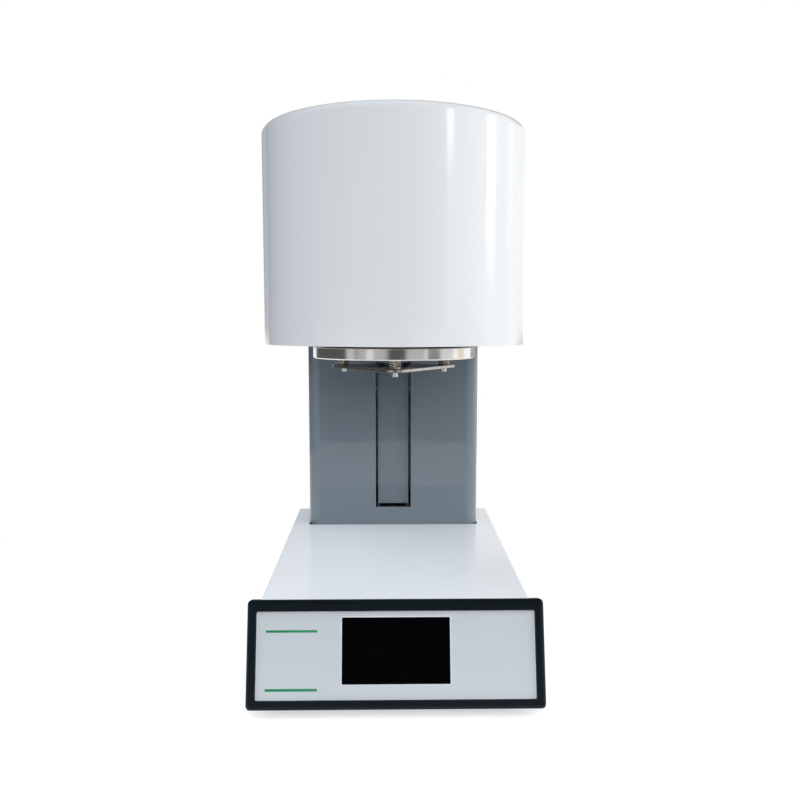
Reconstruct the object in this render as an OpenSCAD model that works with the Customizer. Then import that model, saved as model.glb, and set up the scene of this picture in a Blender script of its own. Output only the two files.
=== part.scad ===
// Benchtop dental porcelain furnace: a round-fronted muffle head on a slotted column, a
// spring-hung firing platform that a lead screw raises into the head, and a low base with a
// tilted touch-screen fascia. Sizes are in millimetres, +Z is up and the front faces -Y.
// "Set back" distances run along +Y from the foot of the front frame.

/* [Base] */
// Width of the deck cover
base_w = 272; // [266:1:284]
// Depth from the foot of the front frame to the rear panel
base_d = 410; // [408:1:440]
// Height of the rubber feet
foot_h = 10; // [8:1:12]
// Radius of a rubber foot at its top
foot_r = 11; // [9:0.5:14]
// Distance of a foot's axis from the side of the base
foot_inset = 30; // [22:1:40]
// Thickness of the folded sheet steel
sheet = 1.5; // [1:0.1:2]
// Outer radius of the sheet's folds
fold_r = 3; // [2.5:0.5:5]
// Rise of the deck towards the rear, in degrees
deck_slope = 1.15; // [0:0.05:1.5]
// How far the deck lies below the top of the front frame
deck_drop = 1; // [0.5:0.1:2]

/* [Front frame] */
// Width of the moulded front frame
frame_w = 297; // [292:1:305]
// Height of the front frame along its slope
frame_h = 107; // [105:0.5:110]
// Thickness of the front frame, square to its face
frame_t = 12; // [11:0.5:16]
// Thickness of the frame in front of the deck's edge
frame_lip = 4; // [3:0.5:6]
// Lean of the front frame from the vertical, in degrees
frame_tilt = 15; // [12:0.5:18]
// Corner radius of the front frame
frame_corner_r = 5; // [4.5:0.5:8]
// Rounding of the frame's front edge
frame_edge_r = 4; // [2:0.5:4]
// Height of the frame's lower edge above the table
frame_foot_z = 8; // [4:0.5:10]
// Width of the window in the frame
window_w = 279; // [272:1:282]
// Height of the window in the frame
window_h = 86; // [82:0.5:88]
// Corner radius of the window in the frame
window_r = 2; // [1:0.5:4]
// How far the window's middle lies below the frame's middle
window_drop = 1; // [0:0.5:2]
// Depth of the fascia behind the frame's front
fascia_recess = 3; // [2:0.5:4]
// Thickness of the fascia
fascia_t = 2; // [1.5:0.5:3]
// Width of the screen's viewing area
screen_w = 108; // [100:1:112]
// Height of the screen's viewing area
screen_h = 64.8; // [60:0.2:68]
// How far the screen's middle lies above the frame's middle
screen_rise = 3.2; // [2:0.1:4]
// Border of the touch glass hidden behind the fascia
glass_border = 5.5; // [4:0.5:6]
// Thickness of the touch glass
glass_t = 1.2; // [0.8:0.1:1.8]

/* [Column] */
// Width of the column shell
column_w = 227; // [222:1:232]
// Depth of the column
column_d = 90; // [88:1:100]
// Radius of the column's front corners
column_r = 16; // [10:1:20]
// Width of the slot in the column's front
slot_w = 47; // [46:0.5:50]
// Height of the slot's foot above the table
slot_sill_z = 139.5; // [130:0.5:150]
// Depth of the lips folded in along the slot
slot_lip = 7; // [5:0.5:8]
// Gap between the slot and the fixed strip on each side
strip_gap = 3; // [2.8:0.1:4.5]
// Depth of the strip behind the column's front face
strip_recess = 10; // [8:0.5:11]
// Gap under the foot of the strip
strip_foot_gap = 3.5; // [2:0.5:6]

/* [Head] */
// Radius of the head's round front
head_r = 148; // [145:1:152]
// Distance from the column's face to the head's axis
head_reach = 132; // [130:1:136]
// Height of the head's lower edge above the table
head_z = 362.6; // [360:0.2:370]
// Height of the head housing
head_h = 237.4; // [228:0.2:250]
// Rounding of the head's upper edge
head_edge_r = 8; // [4:0.5:12]
// Thickness of the head's floor plate
floor_t = 4; // [3:0.5:6]
// How far the floor plate lies above the head's lower edge
floor_lift = 2.9; // [2:0.1:6]

/* [Muffle] */
// Outer radius of the vacuum bell
bell_r = 98; // [96:1:102]
// Wall of the vacuum bell
bell_wall = 2; // [1.5:0.5:3]
// Height of the vacuum bell
bell_h = 172; // [166:1:180]
// Clear space between the pedestal and the heating muffle
muffle_clear = 4; // [3:0.5:6]
// Wall of the heating muffle
muffle_wall = 6.5; // [5:0.5:8]
// Thickness of the heating muffle's roof
muffle_roof = 6; // [4:0.5:8]
// Height of the heating muffle
muffle_h = 114; // [110:1:118]
// Turns of the heating coil
coil_turns = 8; // [6:1:10]
// Wire diameter of the heating coil
coil_wire = 1.8; // [1.4:0.1:2.2]

/* [Platform] */
// Radius of the steel platform
platform_r = 93.5; // [90:0.5:95]
// Thickness of the steel platform
platform_t = 13; // [12:0.5:15]
// Radius of the circle that the platform bolts stand on
bolt_circle_r = 69.5; // [66:0.5:71]
// Cord diameter of the platform seal
seal_d = 5.2; // [4.6:0.1:5.4]
// Width of the pedestal's rim round the tray
pedestal_rim = 3.7; // [2:0.1:5]
// Height of the firing pedestal
pedestal_h = 55.5; // [50:0.5:60]
// Radius of the firing tray
tray_r = 38; // [30:0.5:42]
// Thickness of the firing tray
tray_t = 9; // [6:0.5:12]
// Radius of a pin hole in the firing tray
tray_hole_r = 1.9; // [1:0.1:1.9]
// Spacing of the pin holes in the firing tray
tray_pitch = 8; // [6:0.5:10]

/* [Springs] */
// Free space that a platform spring fills
spring_h = 10; // [9:0.5:12]
// Outer diameter of a platform spring
spring_d = 14; // [12:0.5:16]
// Wire diameter of a platform spring
spring_wire = 1.4; // [1.2:0.1:1.6]
// Turns of a platform spring
spring_turns = 3; // [2:0.5:3.5]

/* [Lift] */
// Thickness of the triangular spider plate
spider_t = 3; // [2.5:0.5:4]
// Radius of the spider plate's corners
spider_corner_r = 13.5; // [10:0.5:15]
// Thickness of the arm's cheeks
cheek_t = 2; // [1.5:0.1:2.1]
// Radius of the guide shafts
guide_r = 6; // [5:0.5:6.5]
// Distance between the guide shafts
guide_gap = 80; // [76:1:84]
// Radius of the lead screw
screw_r = 6; // [5:0.5:6.5]
// Height of the carriage block
carriage_h = 50; // [46:1:52]
// Side of the square lift motor
motor_w = 57; // [54:1:58]
// Height of the lift motor
motor_h = 48; // [40:1:52]

/* [Rear panel] */
// Outer radius of the vacuum hose spigot
spigot_r = 4; // [3:0.5:5]
// Length of the spigot that a hose is pushed on to
spigot_l = 14; // [10:1:18]
// Side of the square cooling fan
fan_w = 60; // [56:1:62]
// Depth of the cooling fan
fan_t = 20; // [16:1:24]
// Blades of the cooling fan
fan_blades = 7; // [5:1:9]
// Length of the rocker switch's key
rocker_l = 19; // [16:1:20]
// How far the rocker tips to each side, in degrees
rocker_swing = 10; // [8:1:12]

/* [Hidden] */
$fn = 64;
// Play between parts that are only set beside each other
gap = 0.3;
// Radial play of a shaft in its running bore
run_fit = 0.05;
// Radial play of a piece that is pushed into its seat
seat_fit = 0.02;
// Overrun of a cutting tool past the face it cuts
over = 1;
// A length longer than the whole furnace, for half-space cutters
far = 3 * (base_d + head_h);

// Places along the depth
spigot_nut_t = 4;
rear_reach = spigot_nut_t + spigot_l;
front_y = -(base_d + rear_reach) / 2;
rear_y = front_y + base_d;
function back(d) = front_y + d;
// The frame's rounded edge stays this far behind its sharp lower corner
round_back = frame_edge_r * (sin(frame_tilt) + cos(frame_tilt) - 1);

column_face = base_d - column_d;
head_axis = column_face - head_reach;

// Base and deck
floor_top_z = foot_h + sheet;
frame_top_z = frame_foot_z + frame_h * cos(frame_tilt);
deck_front = frame_h * sin(frame_tilt) + frame_lip / cos(frame_tilt);
function deck_z(d) = frame_top_z - deck_drop + (d - deck_front) * tan(deck_slope);
tongue_low_z = frame_top_z - deck_drop - sheet - 2.5;
tray_half_w = base_w / 2 - sheet - gap;
tray_flange_h = 14;
cover_screw_z = foot_h + 8;
cover_screw_front = 70;
rear_screw_setback = 110;
cover_screw_rear = base_d - rear_screw_setback;
cover_screw_backs = [cover_screw_front, (cover_screw_front + cover_screw_rear) / 2, cover_screw_rear];
vent_front = 130;
vent_count = 9;
vent_pitch = 12;
vent_l = 60;
vent_w = 3.5;

// Electronics on the chassis floor
floor_half_w = tray_half_w - sheet - 5;
board_d = 92;
board_w = 120;
board_l = 150;
board_t = 1.6;
board_x = floor_half_w - board_w;
pillar_h = 8;
pillar_inset = 5;
supply_w = 98;
supply_l = 160;
supply_h = 42;
relay_w = 58;
relay_l = 45;
relay_h = 46;

// Fascia and screen, along the slope of the frame
window_v = frame_h / 2 - window_drop;
screen_v = frame_h / 2 + screen_rise;
pocket_d = fascia_recess + fascia_t;
glass_w = screen_w + 2 * glass_border;
glass_h = screen_h + 2 * glass_border;
plate_n = frame_t + gap;

// Column and the mechanism in it
column_foot_z = deck_z(column_face) - sheet - 10;
column_back = base_d - sheet - gap;
strip_w = slot_w - 2 * strip_gap;
floor_z = head_z + floor_lift;
mech_d = column_face + 45;
plate_front = column_face + 16;
motor_gap = 2.5;
mast_face = mech_d + motor_w / 2 + motor_gap;
mast_t = 3;
mast_w = 120;
mast_flange = 8;
end_plate_w = mast_w - 2 * mast_t - 4;
upper_plate_t = 10;
lower_plate_t = 8;
upper_plate_z = floor_z - upper_plate_t;
carriage_top_z = upper_plate_z - 7.5;
carriage_z = carriage_top_z - carriage_h;
carriage_d = 40;
carriage_w = guide_gap + carriage_d;
nut_flange_t = 6;
nut_flange_r = 17;
nut_r = 11;
nut_l = 28;
stop_gap = 4;

bearing_r = 14;
bearing_t = 8;
coupling_l = 26;
coupling_r = 12.5;
motor_plate_t = 5;
motor_shaft_r = 4;
post_r = 5;
post_gap = motor_w - 2 * post_r - 2;
bush_r = guide_r + 4.5;
side_run_x = column_w / 2 - sheet - 20;

// Platform, springs and spider, stacked downwards from the head
pedestal_r = tray_r + gap + pedestal_rim;
muffle_r = pedestal_r + muffle_clear;
nose_drop = 1.6;
seal_face_z = head_z - nose_drop;
seal_groove = 4;
platform_top_z = seal_face_z - gap - (seal_d - seal_groove);
platform_z = platform_top_z - platform_t;
seal_r = platform_r - 12;
// Angle between the points of a round corner of the spider
spider_arc = 7.5;
spider_top_z = platform_z - spring_h;
spider_z = spider_top_z - spider_t;
bolt_angles = [-90, 30, 150];
bolt_r = 2;
bolt_head_r = 3.4;
bolt_head_h = 3.6;
bolt_drop = 1.5;
bolt_bite = 7;
tongue_t = 3;
tongue_z = spider_z - tongue_t;
tongue_front = head_axis - 20;
cheek_gap = 0.5;
cheek_out = slot_w / 2 - cheek_gap;
cheek_in = cheek_out - cheek_t;
arm_low_z = spider_z - 12;
arm_back = mech_d - carriage_d / 2;
arm_plate_t = 6;
arm_plate_w = 76;
arm_rise = head_axis + platform_r + 8;
sill_gap = 12;
travel = arm_low_z - sill_gap - slot_sill_z;
lower_plate_z = carriage_z - nut_flange_t - travel - stop_gap - lower_plate_t;
coupling_z = lower_plate_z - 2 - coupling_l;
motor_plate_z = coupling_z - 3 - motor_plate_t;
mast_hole_r = 9;
mast_hole_pitch = 40;
mast_hole_heights = [
  coupling_z - mast_hole_pitch * 3 / 4, coupling_z + mast_hole_pitch / 4, upper_plate_z - mast_hole_pitch];
slot_top_z = carriage_top_z + 5;
arm_screw_r = 2;
arm_screw_head_r = 3.8;
arm_screw_head_t = 2.2;

// Muffle stack, upwards from the floor plate
flange_t = 4;
flange_top_z = floor_z + floor_t + flange_t;
flange_bore_r = muffle_r + 2;
flange_nose_r = platform_r + 3;
flange_screw_ring = max(bell_r + 6, flange_nose_r + 7.5);
flange_r = flange_screw_ring + 5;
flange_screws_n = 8;
bell_foot_t = 3;
lining_r = bell_r - bell_wall - gap;
lining_foot_h = 12;
muffle_z = flange_top_z + lining_foot_h;
muffle_top_z = muffle_z + muffle_h;
bell_top_z = flange_top_z + bell_h;
lining_top_z = bell_top_z - bell_wall - gap;
tray_seat = 3;
tray_z = platform_top_z + pedestal_h - tray_seat;
coil_r = muffle_r - coil_wire / 2 - 0.5;
coil_low_z = tray_z + tray_t + 7;
coil_high_z = muffle_top_z - muffle_roof - 5;
lead_r = 1.6;
lead_ring = coil_r - coil_wire / 2 - lead_r - 0.4;
lead_top_z = bell_top_z + 22;
sheath_r = 3;
sheath_low_z = muffle_top_z - muffle_roof - 12;
pipe_r = 3;
pipe_bend_r = 12;
pipe_z = flange_top_z + 40;
pipe_d = mech_d + 20;

// Rear connectors: where each stands on the rear panel
panel_x = (mast_w + base_w - 2 * sheet) / 4;
fan_z = floor_top_z + fan_w / 2 + 8;
fan_bore_r = fan_w / 2 - 1.8;
fan_hub_r = 11;
spigot_z = fan_z + fan_w / 2 + 15;
valve_w = 26;
inlet_w = 28;
inlet_h = 20.5;
inlet_flange_w = 48;
inlet_z = floor_top_z + 32;
switch_w = 22;
switch_h = rocker_l + 9;
inlet_switch_gap = 10;
switch_z = inlet_z + inlet_h / 2 + switch_h / 2 + inlet_switch_gap;

// Moves its children to a set-back distance, a height and a side distance
module at(d, z = 0, x = 0) {
  translate([x, back(d), z]) children();
}

// Turns its children into the frame's slope: Z runs up the slope and Y into the base
module on_slope() {
  translate([0, front_y - round_back, frame_foot_z]) rotate([-frame_tilt, 0, 0]) children();
}

// Everything deeper than n behind the frame's face
module behind_face(n) {
  on_slope() translate([-far / 2, n, -far / 2]) cube(far);
}

// Everything above a height
module above(z) {
  translate([-far / 2, -far / 2, z]) cube(far);
}

// Flat rectangle with round corners
module round_rect(w, h, r) {
  square([w - 2 * r, h], center = true);
  square([w, h - 2 * r], center = true);
  for (x = [-1, 1], y = [-1, 1])
    translate([x * (w / 2 - r), y * (h / 2 - r)]) circle(r);
}

// Section of a plate whose two upper edges are rounded
module eased_section(w, t, edge) {
  translate([-w / 2, 0]) square([w, t - edge]);
  translate([edge - w / 2, 0]) square([w - 2 * edge, t]);
  for (s = [-1, 1]) translate([s * (w / 2 - edge), t - edge]) circle(edge);
}

// Half section of a round block whose upper edge is rounded
module eased_half_section(r, t, edge) {
  square([r, t - edge]);
  square([r - edge, t]);
  intersection() {
    translate([r - edge, t - edge]) circle(edge);
    square([r, t]);
  }
}

// Plate with round corners and a rounded upper edge
module eased_plate(w, h, t, corner, edge) {
  rotate([90, 0, 0]) linear_extrude(h - 2 * corner, center = true) eased_section(w, t, edge);
  rotate([90, 0, 90]) linear_extrude(w - 2 * corner, center = true) eased_section(h, t, edge);
  for (x = [-1, 1], y = [-1, 1])
    translate([x * (w / 2 - corner), y * (h / 2 - corner), 0])
      rotate_extrude() intersection() {
        eased_half_section(corner, t, edge);
        square([corner, t]);
      }
}

// Plate standing in the frame's slope, from depth n to depth n + t, centred at height v
module slope_plate(w, h, r, n, t, v) {
  on_slope() translate([0, n + t, v]) rotate([90, 0, 0]) linear_extrude(t) round_rect(w, h, r);
}

// Button-head screw: head above z = 0, shank below
module button_screw(head_r, head_t, shank_r, shank_l) {
  difference() {
    rotate_extrude() eased_half_section(head_r, head_t, head_t * 0.6);
    translate([0, 0, head_t * 0.4]) cylinder(h = head_t, r = head_r * 0.45, $fn = 6);
  }
  translate([0, 0, -shank_l]) cylinder(h = shank_l, r = shank_r, $fn = 24);
}

// Lays its children on the rear plane, with their Z pointing out of the back
module on_rear(x, z) {
  translate([x, rear_y, z]) rotate([-90, 0, 0]) children();
}

function unit(v) = v / norm(v);

// Points of a helix: radius, first and last height, turns, first angle, rings per turn
function helix(r, z0, z1, turns, a0, per_turn) = [
  for (i = [0 : turns * per_turn]) let (a = a0 + 360 * i / per_turn)
    [r * cos(a), r * sin(a), z0 + (z1 - z0) * i / (turns * per_turn)]];

// Least clear space between neighbouring turns of a wire laid along the points
function turn_gap(points, wire, per_turn) =
  min([for (i = [0 : len(points) - 1 - per_turn / 2], j = [i + per_turn / 2 : len(points) - 1])
    norm(points[i] - points[j])]) - wire;

// Wire laid along points that never run straight up
module wire(points, r, sides = 6) {
  last = len(points) - 1;
  rings = [for (i = [0 : last])
    let (t = unit(points[min(i + 1, last)] - points[max(i - 1, 0)]))
    let (s = unit(cross(t, [0, 0, 1])), u = cross(s, t))
    for (k = [0 : sides - 1]) let (a = 90 + 360 * k / sides) points[i] + r * (cos(a) * s + sin(a) * u)];
  polyhedron(points = rings, faces = concat(
    [for (k = [1 : sides - 2]) [0, k + 1, k]],
    [for (i = [0 : last - 1], k = [0 : sides - 1]) let (n = (k + 1) % sides)
      each [[i * sides + k, i * sides + n, (i + 1) * sides + k],
        [i * sides + n, (i + 1) * sides + n, (i + 1) * sides + k]]],
    [for (k = [1 : sides - 2]) [last * sides, last * sides + k, last * sides + k + 1]]));
}

// Solid under the deck's skin, drawn in by inset at its top and sides
module deck_form(inset) {
  at(deck_front, deck_z(deck_front)) rotate([deck_slope, 0, 0])
    translate([0, far / 2, 0]) rotate([90, 0, 0]) linear_extrude(far)
      translate([0, -2 * frame_h - inset])
        eased_section(base_w - 2 * inset, 2 * frame_h, fold_r - inset);
}

// Reach of the deck cover: its walls stop behind the frame and its roof runs on under the lip
module cover_reach(clear) {
  behind_face(frame_t + clear);
  intersection() {
    behind_face(frame_lip + clear);
    above(tongue_low_z);
  }
}

// Plan of the column: a straight channel with two round front corners
module column_plan(w, d, r) {
  translate([-w / 2, r]) square([w, d - r]);
  translate([r - w / 2, 0]) square([w - 2 * r, r + over]);
  for (s = [-1, 1]) translate([s * (w / 2 - r), r]) circle(r);
}

// Head body without its walls: half round in front, straight to the rear
module head_form(r, h, edge, reach) {
  rotate_extrude() eased_half_section(r, h, edge);
  translate([0, reach, 0]) rotate([90, 0, 0]) linear_extrude(reach) eased_section(2 * r, h, edge);
}

module chassis() {
  color("silver") difference() {
    intersection() {
      translate([-tray_half_w, front_y, foot_h])
        cube([2 * tray_half_w, base_d - sheet - gap, tray_flange_h]);
      behind_face(plate_n + sheet + gap);
    }
    translate([sheet - tray_half_w, front_y - over, floor_top_z])
      cube([2 * (tray_half_w - sheet), base_d + 2 * over, tray_flange_h]);
    for (i = [0 : vent_count - 1], s = [-1, 1])
      at(vent_front + i * vent_pitch, foot_h - over, s * base_w / 4)
        linear_extrude(sheet + 2 * over) round_rect(vent_l, vent_w, vent_w / 2 - 0.05);
    cover_screw_places() cylinder(h = 3 * fold_r, r = 1.6 + gap, center = true, $fn = 24);
    foot_places() translate([0, 0, -over]) cylinder(h = sheet + 2 * over, r = 2 + gap, $fn = 24);
  }
}

// Axes of the feet, at the underside of the chassis
module foot_places() {
  for (x = [-1, 1], d = [foot_inset + 20, base_d - foot_inset])
    at(d, foot_h, x * (base_w / 2 - foot_inset)) children();
}

module rubber_feet() {
  color([0.08, 0.08, 0.09]) foot_places() difference() {
    union() {
      translate([0, 0, -foot_h]) cylinder(h = foot_h, r1 = foot_r - 1.5, r2 = foot_r);
      cylinder(h = sheet, r = 2 + gap - seat_fit, $fn = 24);
      translate([0, 0, sheet]) cylinder(h = 1.5, r = 3.4, $fn = 24);
    }
    translate([0, 0, -foot_h - over]) cylinder(h = 3 + over, r = foot_r / 3);
  }
}

module front_plate() {
  color("silver") difference() {
    intersection() {
      difference() {
        behind_face(plate_n);
        behind_face(plate_n + sheet);
      }
      deck_form(sheet + gap);
      above(foot_h);
    }
    slope_plate(glass_w * 0.7, glass_h * 0.4, 3, plate_n - over, sheet + 2 * over, screen_v);
  }
}

// Axes of the cover's side screws, with Z pointing out of the side
module cover_screw_places() {
  for (s = [-1, 1], d = cover_screw_backs)
    at(d, cover_screw_z, s * base_w / 2) rotate([0, s * 90, 0]) children();
}

module rear_panel() {
  color([0.86, 0.87, 0.88]) difference() {
    intersection() {
      translate([-base_w / 2, rear_y - sheet, foot_h]) cube([base_w, sheet, far]);
      deck_form(sheet + gap);
    }
    on_rear(-panel_x, fan_z) cylinder(h = 4 * sheet, r = fan_bore_r, center = true);
    on_rear(-side_run_x, spigot_z) cylinder(h = 4 * sheet, r = spigot_r + gap, center = true);
    on_rear(panel_x, inlet_z) linear_extrude(4 * sheet, center = true)
      round_rect(inlet_w + gap, inlet_h + gap, 2);
    on_rear(panel_x, switch_z) linear_extrude(4 * sheet, center = true)
      round_rect(switch_w + gap, switch_h + gap, 1);
    panel_screw_places() cylinder(h = 4 * sheet, r = 1.5 + gap, center = true, $fn = 24);
    fan_screw_places(0) cylinder(h = 4 * sheet, r = 1.5 + gap, center = true, $fn = 24);
  }
}

module deck_cover() {
  color("white") difference() {
    intersection() {
      difference() {
        deck_form(0);
        deck_form(sheet);
      }
      cover_reach(gap);
      above(foot_h);
      translate([-far / 2, rear_y - far, -far / 2]) cube(far);
    }
    at(column_face - gap, frame_h / 2) linear_extrude(frame_h)
      column_plan(column_w + 2 * gap, base_d, 4);
    cover_screw_places() cylinder(h = 3 * fold_r, r = 1.6 + gap, center = true, $fn = 24);
  }
}

module cover_screws() {
  color("silver") cover_screw_places() button_screw(3.2, 1.8, 1.6, 2 * sheet + gap + 3);
}

module front_frame() {
  color([0.09, 0.11, 0.12]) difference() {
    intersection() {
      on_slope() translate([0, frame_t, frame_h / 2]) rotate([90, 0, 0])
        eased_plate(frame_w, frame_h, frame_t, frame_corner_r, frame_edge_r);
      above(frame_foot_z);
    }
    slope_plate(window_w, window_h, window_r, -over, pocket_d + over, window_v);
    slope_plate(glass_w + 2 * gap, glass_h + 2 * gap, 1, 0, frame_t + over, screen_v);
    intersection() {
      deck_form(-gap);
      behind_face(frame_lip);
      above(tongue_low_z - gap);
    }
  }
}

module fascia() {
  color([0.78, 0.81, 0.84]) difference() {
    slope_plate(window_w - 2 * gap, window_h - 2 * gap, window_r - gap, fascia_recess, fascia_t, window_v);
    slope_plate(screen_w, screen_h, 1, 0, frame_t, screen_v);
  }
}

module touch_glass() {
  color([0.02, 0.02, 0.03]) slope_plate(glass_w, glass_h, 1, pocket_d, glass_t, screen_v);
}

module display_module() {
  board_t = 1.6;
  color([0.2, 0.22, 0.24]) {
    slope_plate(glass_w - 2, glass_h - 2, 1, pocket_d + glass_t, plate_n - pocket_d - glass_t, screen_v);
    slope_plate(glass_w * 0.6, glass_h * 0.3, 1, plate_n, sheet + board_t, screen_v);
  }
}

// Places of the board's four pillars, on the chassis floor
module pillar_places() {
  for (x = [pillar_inset, board_w - pillar_inset], y = [pillar_inset, board_l - pillar_inset])
    at(board_d + y, floor_top_z, board_x + x) children();
}

// Circuit board on four pillars, with the parts that stand on it
module control_board() {
  screw_r_m3 = 1.6;
  top_z = floor_top_z + pillar_h + board_t;
  color([0.1, 0.35, 0.2]) difference() {
    at(board_d, floor_top_z + pillar_h, board_x) cube([board_w, board_l, board_t]);
    pillar_places() cylinder(h = 2 * pillar_h, r = screw_r_m3, $fn = 24);
  }
  color("silver") pillar_places() {
    cylinder(h = pillar_h, r = 2 * screw_r_m3, $fn = 24);
    cylinder(h = pillar_h + board_t + 1.5, r = screw_r_m3, $fn = 24);
  }
  color([0.15, 0.15, 0.16]) at(board_d, top_z, board_x) {
    translate([board_w * 0.1, board_l * 0.1, 0]) cube([board_w * 0.32, board_l * 0.3, 30]);
    translate([board_w * 0.6, board_l * 0.14, 0]) cube([board_w * 0.24, board_w * 0.24, 3]);
    for (i = [0 : 3]) translate([board_w * (0.13 + i * 0.19), board_l * 0.8, 0])
      cube([board_w * 0.13, board_l * 0.13, 16]);
    for (i = [0 : 2]) translate([board_w * (0.57 + i * 0.13), board_l * 0.5, 0])
      cylinder(h = 25, r = board_w * 0.05, $fn = 32);
    translate([board_w * 0.1, board_l * 0.5, 0]) cube([board_w * 0.34, 10, 14]);
  }
}

// Slotted case that holds the low-voltage supply
module power_supply() {
  slots = 10;
  slot_l = supply_w - 24;
  pitch = (supply_l - 30) / slots;
  color([0.75, 0.76, 0.78]) at(board_d, floor_top_z, -floor_half_w) difference() {
    cube([supply_w, supply_l, supply_h]);
    for (i = [0 : slots - 1])
      translate([(supply_w - slot_l) / 2, 20 + i * pitch, supply_h - 8]) cube([slot_l, 5, 8 + over]);
  }
}

module heater_relay() {
  fins = 8;
  fin_t = 2.5;
  fin_h = relay_h / 2;
  color([0.16, 0.17, 0.18]) at(column_face - relay_l, floor_top_z, floor_half_w - relay_w) {
    cube([relay_w, relay_l, relay_h / 10]);
    for (i = [0 : fins - 1]) translate([i * (relay_w - fin_t) / (fins - 1), 0, 0])
      cube([fin_t, relay_l, fin_h]);
    translate([relay_w * 0.1, 0, fin_h]) cube([relay_w * 0.8, relay_l, relay_h - fin_h]);
  }
}

module vacuum_valve() {
  valve_d = column_back - valve_w - 12;
  color([0.72, 0.6, 0.3]) difference() {
    at(valve_d, spigot_z - valve_w / 2, -side_run_x - valve_w / 2)
      cube([valve_w, column_back - valve_d, valve_w]);
    on_rear(-side_run_x, spigot_z) translate([0, 0, -sheet - gap - 12])
      cylinder(h = 12 + over, r = spigot_r + seat_fit);
    at(pipe_d, spigot_z + valve_w / 2 - 8, -side_run_x) cylinder(h = 8 + over, r = pipe_r + seat_fit);
  }
  color([0.1, 0.1, 0.11]) at(valve_d, spigot_z, -side_run_x) rotate([90, 0, 0]) {
    cylinder(h = 30, r = valve_w / 2 - 2);
    translate([0, 0, 30]) cylinder(h = 3, r = 5, $fn = 6);
  }
}

// Hexagon nut and plain spigot outside the rear panel, with a thread into the valve
module hose_spigot() {
  color([0.8, 0.7, 0.4]) on_rear(-side_run_x, spigot_z) difference() {
    union() {
      translate([0, 0, -sheet - gap - 12]) cylinder(h = sheet + gap + 12, r = spigot_r);
      cylinder(h = spigot_nut_t, r = spigot_r + 3, $fn = 6);
      translate([0, 0, spigot_nut_t]) cylinder(h = spigot_l, r = spigot_r);
    }
    translate([0, 0, -over - 14]) cylinder(h = rear_reach + 14 + 2 * over, r = 1.8);
  }
}

// Appliance inlet: flange outside the panel, socket with three blades inside
module power_inlet() {
  socket_d = 16;
  color([0.07, 0.07, 0.08]) on_rear(panel_x, inlet_z) difference() {
    union() {
      translate([0, 0, -socket_d - 8]) linear_extrude(socket_d + 8) round_rect(inlet_w, inlet_h, 2);
      linear_extrude(2.5) round_rect(inlet_flange_w, inlet_h + 3, 5);
    }
    translate([0, 0, -socket_d]) linear_extrude(socket_d + 2.5 + over)
      round_rect(inlet_w - 4, inlet_h - 4, 2);
    for (s = [-1, 1]) translate([s * 20, 0, -over]) cylinder(h = 5, r = 1.7, $fn = 24);
  }
  color("silver") on_rear(panel_x, inlet_z) for (x = [-1, 0, 1])
    translate([x * 7 - 1, (x == 0 ? 0 : 4) - 4, -socket_d]) cube([2, 4, 14]);
}

// Frame of the rocker switch, with the trunnions' bores
module switch_body() {
  depth = 20;
  color([0.07, 0.07, 0.08]) on_rear(panel_x, switch_z) difference() {
    union() {
      translate([0, 0, -depth]) linear_extrude(depth) round_rect(switch_w, switch_h, 1);
      linear_extrude(2) round_rect(switch_w + 4, switch_h + 4, 1.5);
    }
    translate([0, 0, -9]) linear_extrude(depth) round_rect(rocker_w() + 2 * gap, rocker_l + 2, 0.5);
    rotate([0, 90, 0]) cylinder(h = rocker_w() + 6, r = rocker_pin_r + run_fit, center = true);
  }
}

rocker_pin_r = 1.5;
function rocker_w() = switch_w - 8;

module power_rocker() {
  rise = 5;
  color([0.75, 0.1, 0.1]) on_rear(panel_x, switch_z) {
    rotate([rocker_swing, 0, 0]) intersection() {
      translate([0, 0, -4]) linear_extrude(rise + 4) round_rect(rocker_w(), rocker_l - 1, 0.5);
      rotate([0, 90, 0]) cylinder(h = rocker_w(), r = rocker_l / 2 - 0.5, center = true);
    }
    rotate([0, 90, 0]) cylinder(h = rocker_w() + 4, r = rocker_pin_r, center = true);
  }
}

// Axes of the screws that hold the three rear plates
module panel_screw_places() {
  for (s = [-1, 1]) {
    on_rear(s * (mast_w / 2 + 3), floor_top_z + 12) children();
    on_rear(s * (base_w / 2 - 9), spigot_z + 6) children();
    for (z = [slot_sill_z, (slot_sill_z + head_z) / 2, head_z - 15])
      on_rear(s * (column_w / 2 - 9), z) children();
    for (t = [0.12, 0.5, 0.88]) on_rear(s * (head_r - 12), head_z + head_h * t) children();
  }
}

// Axes of the four fan screws
module fan_screw_places(out) {
  for (x = [-1, 1], z = [-1, 1])
    on_rear(x * (fan_w / 2 - 5) - panel_x, fan_z + z * (fan_w / 2 - 5))
      translate([0, 0, out]) children();
}

guard_t = 1.6;

module rear_screws() {
  color("silver") {
    panel_screw_places() button_screw(3, 1.8, 1.5, sheet + 5);
    fan_screw_places(guard_t) button_screw(3, 1.8, 1.5, guard_t + sheet + 6);
  }
}

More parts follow.
